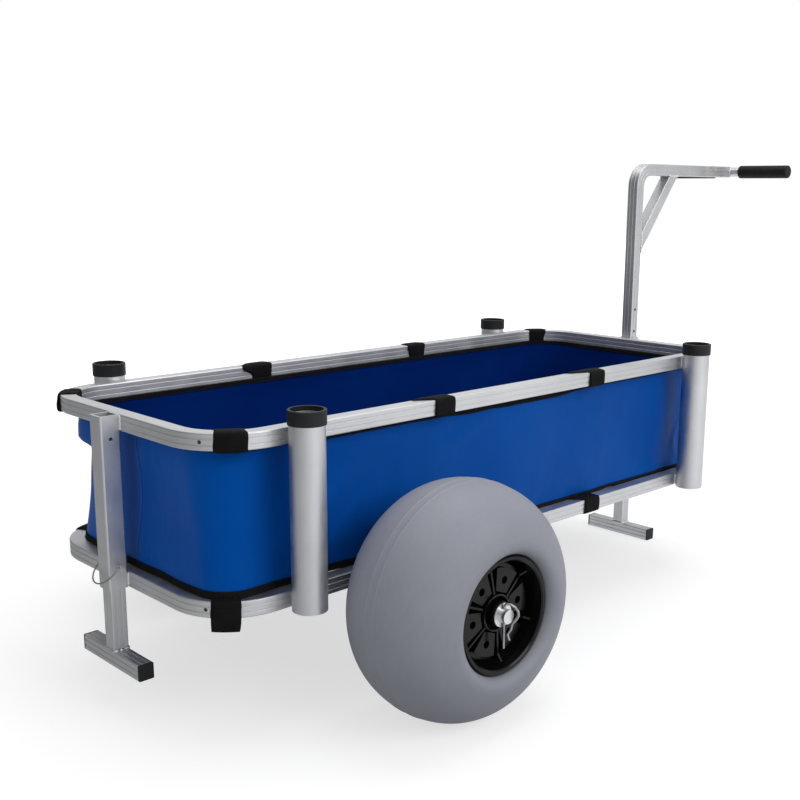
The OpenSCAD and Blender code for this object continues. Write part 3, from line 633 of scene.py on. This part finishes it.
def wall_point(line, s, height, places):
    """Outer face of the wall: plan point, outward normal and height above the ground."""
    flat = line.at(s)[0]
    at_fold = flat.x < BASKET_X and flat.y > BASKET_Y
    tighter = 0.0 if at_fold else TIGHTER_BOTTOM * (1 - smoothstep(height, 0.0, 0.95))
    point, normal = line.at(s, tighter)
    x, y = point.x - BASKET_X, point.y - BASKET_Y
    fold_middle = line.end + 2 * line.side + line.arc * (1 + FOLD_TURN)
    fold = bump_at(wrap_distance(s, fold_middle, line.length), 0, FOLD_HALF)
    out = liner_push(x, y, normal, height, s, fold) + seam_ridge(x, y, height)
    top = top_edges(line, s, places)[1] - MM
    return point + normal * out, normal, LINER_LOW + height * (top - LINER_LOW)


def liner_wall(line, places):
    columns = liner_columns(line)
    count = len(columns)
    verts = []
    for layer in (0, 1):
        for row in range(LINER_ROWS):
            height = row / (LINER_ROWS - 1)
            for s in columns:
                point, normal, z = wall_point(line, s, height, places)
                xy = point - normal * (layer * LINER_THICKNESS)
                verts.append((xy.x, xy.y, z))
    size = LINER_ROWS * count
    faces = grid_faces(LINER_ROWS, count, close_columns=True)
    faces += grid_faces(LINER_ROWS, count, close_columns=True, start=size)
    for row in (0, LINER_ROWS - 1):
        for column in range(count):
            a = row * count + column
            b = row * count + (column + 1) % count
            faces.append([a, b, b + size, a + size])
    wall = new_object("liner_wall", verts, faces, LINER_CLOTH)
    # The inner layer takes the darker cloth: painted shade for the inside of the basket.
    wall.data.materials.append(INSIDE_PAINTED_SHADE_CLOTH)
    for polygon in wall.data.polygons:
        if min(polygon.vertices) >= size:
            polygon.material_index = 1
    shown(wall, "frame", "liner_fabric", "liner")


def liner_floor(line, places):
    """The floor panel: rings of points from the wall's foot to the middle, lying on the bottom straps."""
    centre = Vector((BASKET_X, BASKET_Y))
    count = LINER_COLUMNS
    verts = []
    for layer in (0, 1):
        base = LINER_LOW + layer * LINER_THICKNESS
        for ring in range(FLOOR_RINGS):
            share = 1 - ring / FLOOR_RINGS
            for column in range(count):
                point, normal, _ = wall_point(line, line.length * column / count, 0.0, places)
                xy = centre + (point - normal * LINER_THICKNESS - centre) * share
                ripple = FLOOR_RIPPLE * math.sin(20 * xy.x) * math.sin(26 * xy.y) * (1 - share ** 4)
                verts.append((xy.x, xy.y, base + abs(ripple)))
        verts.append((centre.x, centre.y, base))
    size = FLOOR_RINGS * count + 1
    following = [(c + 1) % count for c in range(count)]
    faces = []
    for start in (0, size):
        faces += grid_faces(FLOOR_RINGS, count, close_columns=True, start=start)
        last = start + (FLOOR_RINGS - 1) * count
        faces += [[last + c, last + following[c], start + size - 1] for c in range(count)]
    faces += [[c, following[c], size + following[c], size + c] for c in range(count)]
    # The whole floor panel takes the darker cloth: painted shade for the inside of the basket.
    floor = new_object("liner_floor", verts, faces, INSIDE_PAINTED_SHADE_CLOTH)
    shown(floor, "frame", "liner_fabric", "liner")


def tape(name, columns, frame_at, section_at):
    """Sweeps a closed section of (outward, up) points, which may change along the way."""
    sections = [section_at(s) for s in columns]
    verts = []
    for s, section in zip(columns, sections):
        point, normal = frame_at(s)
        for u, z in section:
            xy = point + normal * u
            verts.append((xy.x, xy.y, z))
    faces = grid_faces(len(columns), len(sections[0]), close_rows=True, close_columns=True)
    return new_object(name, verts, faces, WEBBING)


CORNER_STEPS = 3


def rounded_section(low_u, high_u, low_v, high_v, radius):
    """A rectangle with round corners, as (u, v) points."""
    points = []
    corners = ((high_u, high_v, 0), (low_u, high_v, 90), (low_u, low_v, 180), (high_u, low_v, 270))
    for u, v, first in corners:
        cu = u - radius if first in (0, 270) else u + radius
        cv = v - radius if first in (0, 90) else v + radius
        for k in range(CORNER_STEPS + 1):
            angle = math.radians(first + 90 * k / CORNER_STEPS)
            points.append((cu + radius * math.cos(angle), cv + radius * math.sin(angle)))
    return points


STITCH_PITCH = 4.6 * MM
STITCH_LENGTH = 3.2 * MM
STITCH_HALF = 0.4 * MM
STITCH_HEIGHT = 0.35 * MM
STITCH_STATIONS = ((-0.5, 0), (-0.25, 1), (0.25, 1), (0.5, 0))
STITCH_BASE = (0, 3, 6, 9, 11, 8, 5, 2)


def stitch_row(name, points):
    """A row of thread stitches: each (place, along, out) makes one small rounded lozenge."""
    verts, faces = [], []
    for where, along, out in points:
        across = along.cross(out)
        start = len(verts)
        for step, swell in STITCH_STATIONS:
            base = where + along * (step * STITCH_LENGTH)
            for side, lift in ((-1, 0), (0, 1), (1, 0)):
                sideways, up = side * swell * STITCH_HALF, lift * swell * STITCH_HEIGHT
                verts.append(base + across * sideways + out * up)
        faces += grid_faces(len(STITCH_STATIONS), 3, start=start)
        faces.append([start + k for k in STITCH_BASE])
    return new_object(name, verts, faces, THREAD)


# The bindings' inner and outer faces from the wall, their corners' radius, and heights
TOP_INNER, TOP_OUTER, TOP_ROUND = -2.4 * MM, 1.2 * MM, 0.9 * MM
TOP_STITCHES_UP = 1.8 * MM
BOTTOM_INNER, BOTTOM_OUTER, BOTTOM_ROUND = 0.1 * MM, 1.7 * MM, 0.7 * MM
BOTTOM_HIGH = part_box("liner_bottom_binding")[1][2] + 2.0 * MM
BOTTOM_HIGH_TUCKED = level(27.0)
BOTTOM_LOW, BOTTOM_LOW_DROP = 22.4, 4.0
BOTTOM_RUFFLE = 0.5 * MM
BOTTOM_STITCHES = level(25.0)


def liner_bindings(line, places):
    columns = [line.length * k / LINER_COLUMNS for k in range(LINER_COLUMNS)]

    def top_frame(s):
        return wall_point(line, s, 1.0, places)[:2]

    def top_section(s):
        return rounded_section(TOP_INNER, TOP_OUTER, *top_edges(line, s, places), TOP_ROUND)

    def bottom_frame(s):
        return wall_point(line, s, 0.02, places)[:2]

    def bottom_section(s):
        point, normal = line.at(s)
        tucked = tucked_in(point.x - BASKET_X, normal)
        high = BOTTOM_HIGH + (BOTTOM_HIGH_TUCKED - BOTTOM_HIGH) * tucked + BOTTOM_RUFFLE * math.sin(40 * s)
        low = level(BOTTOM_LOW - BOTTOM_LOW_DROP * smoothstep(tucked, 0.5, 0.9))
        return rounded_section(BOTTOM_INNER, BOTTOM_OUTER, low, high, BOTTOM_ROUND)

    top = tape("liner_top_binding_tape", columns, top_frame, top_section)
    bottom = tape("liner_bottom_binding_tape", columns, bottom_frame, bottom_section)
    shown(top, "frame", "black_webbing", "liner_top_binding")
    shown(bottom, "frame", "black_webbing", "liner_bottom_binding")

    def top_stitches(s):
        return top_edges(line, s, places)[0] + TOP_STITCHES_UP

    steps = int(line.length / STITCH_PITCH)
    rows = (("top_outer", top_frame, TOP_OUTER, top_stitches),
            ("top_inner", top_frame, TOP_INNER, top_stitches),
            ("bottom", bottom_frame, BOTTOM_OUTER, lambda _: BOTTOM_STITCHES))
    for row, frame_at, out, height_at in rows:
        points = []
        for k in range(steps):
            s = line.length * k / steps
            point, normal = frame_at(s)
            ahead, _ = frame_at(s + MM)
            z = height_at(s)
            along = Vector((ahead.x - point.x, ahead.y - point.y, height_at(s + MM) - z)).normalized()
            outward = Vector((normal.x, normal.y, 0)) * (1 if out > 0 else -1)
            where = Vector((point.x + normal.x * out, point.y + normal.y * out, z))
            points.append((where, along, outward))
        shown(stitch_row(f"binding_stitches_{row}", points), "frame", "black_webbing")


# Straps

STRAP_THICKNESS = 1.6 * MM
LOOP_REACH = TUBE / 2 + 0.45 * MM
LOOP_POWER = 9
LOOP_POINTS = 48
LOOP_BULGE = 0.012
LOOSE_LOW, LOOSE_SINK = 0.65, 0.35
ACROSS = 11
RIB_HEIGHT = 0.12 * MM
EDGE_THINNING = 0.4
FLARE_OPENS, FLARE_CLOSES = (0.13, 0.36), (0.40, 0.56)
RUFFLE = 0.4 * MM
TAIL_LENGTH = 16 * MM
TAIL_TOP = 3 * MM
TAIL_STEPS = 9
TAIL_BELLY, TAIL_LEAN = 1.6 * MM, 1.2 * MM

# The bottom strap with a free tail, counted in the order of BOTTOM_FLARES: the near front corner's
BOTTOM_TAIL = 4


def loop_path(slack):
    """The strap's closed way round the rail, as (outward, up) points on its inner face. It starts
    at the outer face's middle and runs over the top. slack lets the outer face stand off."""
    points = []
    for k in range(LOOP_POINTS):
        angle = TAU * k / LOOP_POINTS
        c, s = math.cos(angle), math.sin(angle)
        reach = LOOP_REACH / (abs(c) ** LOOP_POWER + abs(s) ** LOOP_POWER) ** (1 / LOOP_POWER)
        reach *= 1 + LOOP_BULGE * (1 + math.cos(4 * angle))
        loose = slack * max(c, 0.0) ** 0.6 * (LOOSE_LOW - LOOSE_SINK * s)
        points.append((reach * c + loose, reach * s - LOOSE_SINK * loose))
    return points


def ribbon(name, line, base, middle_s, path, spread, closed=False):
    """A woven strap along a path of (outward, up) points. spread gives, for a share of the path,
    the strap's two edges from its middle, along the rail."""
    count = len(path)
    offset = []
    for k in range(count):
        before = path[k - 1] if closed or k else path[k]
        after = path[(k + 1) % count] if closed or k < count - 1 else path[k]
        tangent = Vector((after[0] - before[0], after[1] - before[1])).normalized()
        offset.append(Vector((tangent.y, -tangent.x)))
    verts = []
    for layer in (0, 1):
        for k, (u, v) in enumerate(path):
            left, right = spread(k / count if closed else k / (count - 1))
            for a in range(ACROSS):
                share = a / (ACROSS - 1)
                edge = 1 - EDGE_THINNING * (2 * abs(share - 0.5)) ** 8
                ribs = RIB_HEIGHT * (a % 2)
                point, normal = line.at(middle_s + left + (right - left) * share)
                push = offset[k] * ((STRAP_THICKNESS * edge + ribs) * layer)
                xy = point + normal * (u + push.x)
                verts.append((xy.x, xy.y, base + v + push.y))
    size = count * ACROSS
    faces = grid_faces(count, ACROSS, close_rows=closed)
    faces += grid_faces(count, ACROSS, close_rows=closed, start=size)
    for k in range(count if closed else count - 1):
        for a in (0, ACROSS - 1):
            p, q = k * ACROSS + a, ((k + 1) % count) * ACROSS + a
            faces.append([p, q, q + size, p + size])
    if not closed:
        for k in (0, count - 1):
            for a in range(ACROSS - 1):
                p = k * ACROSS + a
                faces.append([p, p + 1, p + 1 + size, p + size])
    return new_object(name, verts, faces, WEBBING)


def flared(half, lower, upper):
    """Edges of a loop: straight round the rail, and flared over its top towards the basket."""
    def spread(share):
        opening = smoothstep(share, *FLARE_OPENS) * (1 - smoothstep(share, *FLARE_CLOSES))
        ruffle = RUFFLE * math.sin(TAU * 3 * share)
        return -half - lower * opening + ruffle, half + upper * opening + ruffle
    return spread


def tail_path(slack):
    """The sewn end on the outer face and its free tail below the rail."""
    out = LOOP_REACH + STRAP_THICKNESS + slack - 0.1 * MM
    drop = TUBE / 2 + TAIL_TOP + TAIL_LENGTH
    shares = [k / TAIL_STEPS for k in range(TAIL_STEPS + 1)]
    return [(out + TAIL_BELLY * math.sin(math.pi * share) + TAIL_LEAN * share, TAIL_TOP - drop * share)
            for share in shares]


def tail_edges(half):
    """Edges of a tail: a little narrower than its strap, and narrowing towards its cut end."""
    return lambda share: (-half + 0.6 * MM, half - (0.5 + 2.0 * share ** 3) * MM)


def straps(line):
    rings = (
        ("top", TOP_MID, TOP_CORNER_HALF, strap_table(line, TOP_CORNER, TOP_FOLDED, TOP_FLARES)),
        ("bottom", BOTTOM_MID, BOTTOM_CORNER_HALF,
         strap_table(line, BOTTOM_CORNER, BOTTOM_FOLDED, BOTTOM_FLARES)),
    )
    for ring, base, corner_half, table in rings:
        node = f"{ring}_straps"
        for index, (s, lower, upper, slack, at_corner) in enumerate(table):
            half = corner_half if at_corner else STRAP_HALF
            loop = ribbon(f"{ring}_strap_{index}", line, base, s, loop_path(slack),
                          flared(half, lower, upper), closed=True)
            shown(loop, "frame", "black_webbing", node)
            if ring == "bottom" and index == BOTTOM_TAIL:
                tail = ribbon(f"{ring}_strap_tail_{index}", line, base, s + 0.3 * MM,
                              tail_path(slack * 0.9), tail_edges(half))
                shown(tail, "frame", "black_webbing", node)


# Tyres

TYRE_SEGMENTS = 192
PROFILE_POINTS = 110
SIDEWALL_POINTS = 12
SHOULDER = math.radians(74)
SQUARENESS = 0.92
TYRE_BASE = 0.9

# How far the skin stays inside the CAD tyre, and the mould seams' height, place and half width
SKIN = 0.3 * MM
TREAD_SINK = 0.8 * MM
MOULD_SEAM, MOULD_SEAM_AT, MOULD_SEAM_HALF = 0.8 * MM, 6.5 * MM, 1.2 * MM

# Where the sidewall folds in below the shoulder, and how far the bead sits inside the rim's lip
FOLD_DROP = 4 * MM
BEAD_INSET = 5 * MM


def tyre_profile(outer, half, lip, bead):
    """The tyre's section as (radius, across) points: one round tread, and sidewalls down to the beads."""
    base = lip * TYRE_BASE
    profile = []
    for k in range(PROFILE_POINTS + 1):
        angle = SHOULDER * k / PROFILE_POINTS
        radius = base + (outer - base) * math.cos(angle) ** SQUARENESS
        across = (half - MM) * (math.sin(angle) / math.sin(SHOULDER)) ** SQUARENESS
        seam = MOULD_SEAM * bump_at(across, MOULD_SEAM_AT, MOULD_SEAM_HALF)
        profile.append((radius - TREAD_SINK + seam, across))
    fold = profile[-1][0] - FOLD_DROP
    for k in range(1, SIDEWALL_POINTS + 1):
        angle = math.radians(90 - 90 * k / SIDEWALL_POINTS)
        radius = fold - (fold - lip - MM) * math.cos(angle)
        profile.append((radius, bead + (half - bead - SKIN) * math.sin(angle)))
    return [(radius, -across) for radius, across in reversed(profile[1:])] + profile


def tyre(side):
    node = f"tyre_{side}"
    low, high = (Vector(corner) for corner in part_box(node))
    rim_low, rim_high = (Vector(corner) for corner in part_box(f"rim_{side}"))
    centre = (low + high) / 2
    profile = tyre_profile((high.z - low.z) / 2, (high.y - low.y) / 2, (rim_high.z - rim_low.z) / 2,
                           (rim_high.y - rim_low.y) / 2 - BEAD_INSET)
    verts = []
    for segment in range(TYRE_SEGMENTS):
        turn = TAU * segment / TYRE_SEGMENTS
        c, s = math.cos(turn), math.sin(turn)
        verts += [(centre.x + radius * c, centre.y + across, centre.z + radius * s)
                  for radius, across in profile]
    faces = grid_faces(TYRE_SEGMENTS, len(profile), close_rows=True, close_columns=True)
    made = new_object(f"tyre_{side}_skin", verts, faces, TYRE_RUBBER)
    shown(made, f"wheel_{side}", "tyre_grey", node)


# Welds

WELD_SIDES = 10
RIPPLE_PITCH = 2.6 * MM
RIPPLE_STEPS = 5
RIPPLE_LOW, RIPPLE_RISE = 0.86, 0.20
WANDER, WANDER_RATE = 0.10, 900
QUIVER, QUIVER_RATE = 0.07, 2300
SOCKET_BEAD, HOLDER_BEAD, SMALL_BEAD, BAR_BEAD = 3.0 * MM, 2.6 * MM, 1.9 * MM, 1.8 * MM
HOLDER_FLANK = 9.5 * MM
ACROSS_BEAD = Vector((0.31, 0.52, 0.79))


def weld(name, body, path, radius, closed=False):
    """A weld bead: a rippled, slightly wandering tube along a path of points."""
    ways = [0.0]
    loop = path + [path[0]] if closed else path
    for a, b in zip(loop, loop[1:]):
        ways.append(ways[-1] + (b - a).length)
    total = ways[-1]
    steps = max(int(total / (RIPPLE_PITCH / RIPPLE_STEPS)), 8)
    count = steps if closed else steps + 1
    verts = []
    for k in range(count):
        way = min(total * k / steps, total - 1e-9)
        index = max(i for i in range(len(loop) - 1) if ways[i] <= way)
        a, b = loop[index], loop[index + 1]
        along = (b - a).normalized()
        point = a + along * (way - ways[index])
        phase = (way / RIPPLE_PITCH) % 1.0
        wander = WANDER * math.sin(way * WANDER_RATE + len(name)) + QUIVER * math.sin(way * QUIVER_RATE)
        size = radius * (RIPPLE_LOW + RIPPLE_RISE * phase ** 0.7 + wander)
        if not closed:
            size *= min(1.0, math.sqrt(max(min(way, total - way), 0.0) / radius) + 0.15)
        side = along.cross(ACROSS_BEAD).normalized()
        up = along.cross(side)
        for j in range(WELD_SIDES):
            angle = TAU * j / WELD_SIDES
            verts.append(point + (side * math.cos(angle) + up * math.sin(angle)) * size)
    faces = grid_faces(count, WELD_SIDES, close_rows=closed, close_columns=True)
    if not closed:
        last = (count - 1) * WELD_SIDES
        faces.append(list(range(WELD_SIDES)))
        faces.append(list(range(last, last + WELD_SIDES)))
    shown(new_object(name, verts, faces, WELD), body, "aluminium")


def rectangle(centre, half_a, half_b):
    """Corner points of a rectangle from its centre and two half sides."""
    return [centre + half_a * a + half_b * b for a, b in ((1, 1), (-1, 1), (-1, -1), (1, -1))]


def up_a_rail(x, y, middle_z):
    """A straight path up a rail's side."""
    return [Vector((x, y, middle_z + k * (TUBE / 2 - MM))) for k in (-1, 1)]


RAILS = (("top", TOP_MID), ("bottom", BOTTOM_MID))


def socket_welds():
    for end, sign in (("front", -1), ("rear", 1)):
        low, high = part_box(f"socket_{end}")
        face = BASKET_X + sign * HALF_LENGTH
        for ring, middle_z in RAILS:
            for side, y in (("near", low[1]), ("far", high[1])):
                weld(f"weld_socket_{end}_{ring}_{side}", "frame", up_a_rail(face, y, middle_z), SOCKET_BEAD)


def holder_welds():
    for end in ("front", "rear"):
        for side, sign in (("near", -1), ("far", 1)):
            centre = middle(f"rod_holder_{end}_{side}")
            y = BASKET_Y + sign * (HALF_WIDTH + 0.6 * MM)
            for ring, middle_z in RAILS:
                for flank in (-1, 1):
                    path = up_a_rail(centre.x + flank * HOLDER_FLANK, y, middle_z)
                    weld(f"weld_holder_{end}_{side}_{ring}_{flank + 1}", "frame", path, HOLDER_BEAD)


def leg_welds():
    for end in ("front", "rear"):
        leg_low, leg_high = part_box(f"leg_tube_{end}")
        centre = middle(f"leg_tube_{end}")
        centre.z = leg_low[2] + 0.6 * MM
        half = (leg_high[0] - leg_low[0]) / 2
        path = rectangle(centre, Vector((half, 0, 0)), Vector((0, half, 0)))
        weld(f"weld_leg_{end}", f"leg_{end}", path, SMALL_BEAD, closed=True)


BRACE_SLOPE = math.radians(52)
BRACE_DROP = 147 * MM
BRACE_SIZE = 22 * MM


def handle_welds():
    brace_low, brace_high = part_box("handle_brace")
    foot_x, arm_z = brace_low[0], brace_high[2]
    half = Vector((0, BRACE_SIZE / 2, 0))
    low = arm_z - BRACE_DROP
    high = low + BRACE_SIZE / math.cos(BRACE_SLOPE)
    path = rectangle(Vector((foot_x, BASKET_Y, (low + high) / 2)), half, Vector((0, 0, (high - low) / 2)))
    weld("weld_brace_post", "handle", path, SMALL_BEAD, closed=True)
    toe = foot_x + BRACE_DROP / math.tan(BRACE_SLOPE)
    heel = toe - BRACE_SIZE / math.sin(BRACE_SLOPE)
    path = rectangle(Vector(((toe + heel) / 2, BASKET_Y, arm_z)), half, Vector(((toe - heel) / 2, 0, 0)))
    weld("weld_brace_arm", "handle", path, SMALL_BEAD, closed=True)
    bar_low, bar_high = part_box("handle_bar")
    bar = middle("handle_bar")
    reach = (bar_high[2] - bar_low[2]) / 2 + 0.5 * MM
    for side, sign in (("near", -1), ("far", 1)):
        y = sign * (TUBE / 2 - 0.3 * MM)
        path = [bar + Vector((reach * math.cos(angle), y, reach * math.sin(angle)))
                for angle in map(math.radians, range(125, 240, 10))]
        weld(f"weld_bar_{side}", "handle", path, BAR_BEAD)


# Stage, light and camera

FLOOR_HALF = 12
FLOOR_TONE = 0.46
WORLD_LIGHT = 0.5

# The floor's own glow near the object and far away, the metres between them, and what a mirror sees of it
NEAR_GLOW, FAR_GLOW = 0.63, 0.6
FAR_FROM, MIRRORED_FROM = (0.9, 3.0), (0.4, 1.2)
MIRRORED_NEARBY = 0.85
FLOOR_DIMMING = 0.15

# Which way the room's bright parts lie, their brightness, and the cosines where it begins and is full
BACKDROP, BACKDROP_EDGE = Vector((0.7071, 0.7071, 0.0)), (0.6, 0.95)
NEAR_SIDE, NEAR_SIDE_EDGE = Vector((0.7071, -0.7071, 0.0)), (-0.9, 0.4)
ROOM_DIM, ROOM_BRIGHT = 0.18, 0.72

# Name, place, target, size, power and whether reflections show it
LAMPS = (
    ("key", (0.5, -3.4, 2.2), (0, 0, 0.3), (2.6, 2.0), 56, True),
    ("fill", (-3.4, -0.6, 1.8), (0, 0, 0.3), (2.0, 2.0), 13, False),
    ("top", (0.4, 0.2, 3.4), (0, 0, 0.2), (3.0, 2.2), 48, True),
)


def mirrored_room(tree, direction):
    """What a reflection sees: the white backdrop, a bright near side and a dim front side."""
    dots = []
    for way in (NEAR_SIDE, BACKDROP):
        node = add_node(tree, "ShaderNodeVectorMath", operation="DOT_PRODUCT")
        node.inputs[1].default_value = way
        tree.links.new(direction, node.inputs[0])
        dots.append(node.outputs["Value"])
    return combine(tree, "MAXIMUM", span(tree, dots[0], ROOM_DIM, ROOM_BRIGHT, *NEAR_SIDE_EDGE),
                   span(tree, dots[1], 0.0, 1.0, *BACKDROP_EDGE))


def seen_directly(tree, path):
    return combine(tree, "MAXIMUM", path.outputs["Is Camera Ray"], path.outputs["Is Transmission Ray"])


def stage():
    """A pale floor that keeps the shadow near the object and runs into the white backdrop."""
    made, tree, shader = material("studio_floor")
    shader.inputs["Base Color"].default_value = (FLOOR_TONE, FLOOR_TONE, FLOOR_TONE, 1)
    shader.inputs["Roughness"].default_value = 0.9
    shader.inputs["Specular IOR Level"].default_value = 0.0
    shader.inputs["Emission Color"].default_value = (1, 1, 1, 1)
    length = add_node(tree, "ShaderNodeVectorMath", operation="LENGTH")
    tree.links.new(object_coords(tree), length.inputs[0])
    far = span(tree, length.outputs["Value"], 0.0, 1.0, *FAR_FROM)
    path = add_node(tree, "ShaderNodeLightPath")
    glow = combine(tree, "ADD", combine(tree, "MULTIPLY", far, FAR_GLOW), NEAR_GLOW)
    seen_glow = combine(tree, "MULTIPLY", seen_directly(tree, path), glow)
    outward = add_node(tree, "ShaderNodeVectorMath", operation="NORMALIZE")
    tree.links.new(object_coords(tree), outward.inputs[0])
    room = combine(tree, "SUBTRACT", mirrored_room(tree, outward.outputs["Vector"]), FLOOR_DIMMING)
    nearby = span(tree, length.outputs["Value"], MIRRORED_NEARBY, 1.0, *MIRRORED_FROM)
    room = combine(tree, "MULTIPLY", room, nearby)
    mirror_glow = combine(tree, "MULTIPLY", path.outputs["Is Glossy Ray"], room)
    tree.links.new(combine(tree, "MAXIMUM", seen_glow, mirror_glow), shader.inputs["Emission Strength"])
    corners = [(x * FLOOR_HALF, y * FLOOR_HALF, 0) for x, y in ((-1, -1), (1, -1), (1, 1), (-1, 1))]
    new_object("studio_floor", corners, [[0, 1, 2, 3]], made, smooth=False)
    studio_world()


def studio_world():
    """White where the camera sees it, even and dimmer as light, and the mirrored room in reflections."""
    world = bpy.data.worlds.new("studio")
    bpy.context.scene.world = world
    world.use_nodes = True
    tree = world.node_tree
    background = tree.nodes["Background"]
    path = add_node(tree, "ShaderNodeLightPath")
    coords = add_node(tree, "ShaderNodeTexCoord")
    glossy = path.outputs["Is Glossy Ray"]
    mirrored = combine(tree, "MULTIPLY", glossy, mirrored_room(tree, coords.outputs["Generated"]))
    plain = combine(tree, "SUBTRACT", WORLD_LIGHT, combine(tree, "MULTIPLY", glossy, WORLD_LIGHT))
    strength = combine(tree, "MAXIMUM", seen_directly(tree, path), mirrored)
    tree.links.new(combine(tree, "MAXIMUM", strength, plain), background.inputs["Strength"])
    background.inputs["Color"].default_value = (1, 1, 1, 1)


def lamp(name, location, target, size, power, mirrored):
    data = bpy.data.lights.new(name, "AREA")
    data.shape = "RECTANGLE"
    data.size, data.size_y = size
    data.energy = power
    obj = bpy.data.objects.new(name, data)
    bpy.context.scene.collection.objects.link(obj)
    obj.location = location
    obj.rotation_euler = (Vector(target) - Vector(location)).to_track_quat("-Z", "Y").to_euler()
    obj.visible_glossy = mirrored


def camera():
    data = bpy.data.cameras.new("camera")
    data.sensor_width = SENSOR
    data.lens = FOCAL_PIXELS / IMAGE_SIZE * SENSOR
    data.shift_x = (IMAGE_SIZE / 2 - PRINCIPAL_POINT[0]) / IMAGE_SIZE
    data.shift_y = (PRINCIPAL_POINT[1] - IMAGE_SIZE / 2) / IMAGE_SIZE
    data.clip_end = 50
    obj = bpy.data.objects.new("camera", data)
    bpy.context.scene.collection.objects.link(obj)
    turn = (Matrix.Rotation(math.radians(CAMERA_YAW), 4, "Z")
            @ Matrix.Rotation(math.radians(90 - CAMERA_PITCH), 4, "X")
            @ Matrix.Rotation(math.radians(CAMERA_ROLL), 4, "Z"))
    x, y, z = (value * MM for value in CAMERA_FROM_BASKET)
    obj.matrix_world = Matrix.Translation((x + BASKET_X, y + BASKET_Y, z + RING_BASE)) @ turn
    bpy.context.scene.camera = obj


bpy.context.scene.view_settings.view_transform = "Standard"
camera()
dress_cad_nodes()
rail_line = BasketLine(TUBE / 2)
wall_line = BasketLine(LINER_INSET)
wall_straps = strap_table(wall_line, TOP_CORNER, TOP_FOLDED, TOP_FLARES)
liner_wall(wall_line, wall_straps)
liner_floor(wall_line, wall_straps)
liner_bindings(wall_line, wall_straps)
straps(rail_line)
for wheel_side in ("near", "far"):
    tyre(wheel_side)
socket_welds()
holder_welds()
leg_welds()
handle_welds()
stage()
for row in LAMPS:
    lamp(*row)
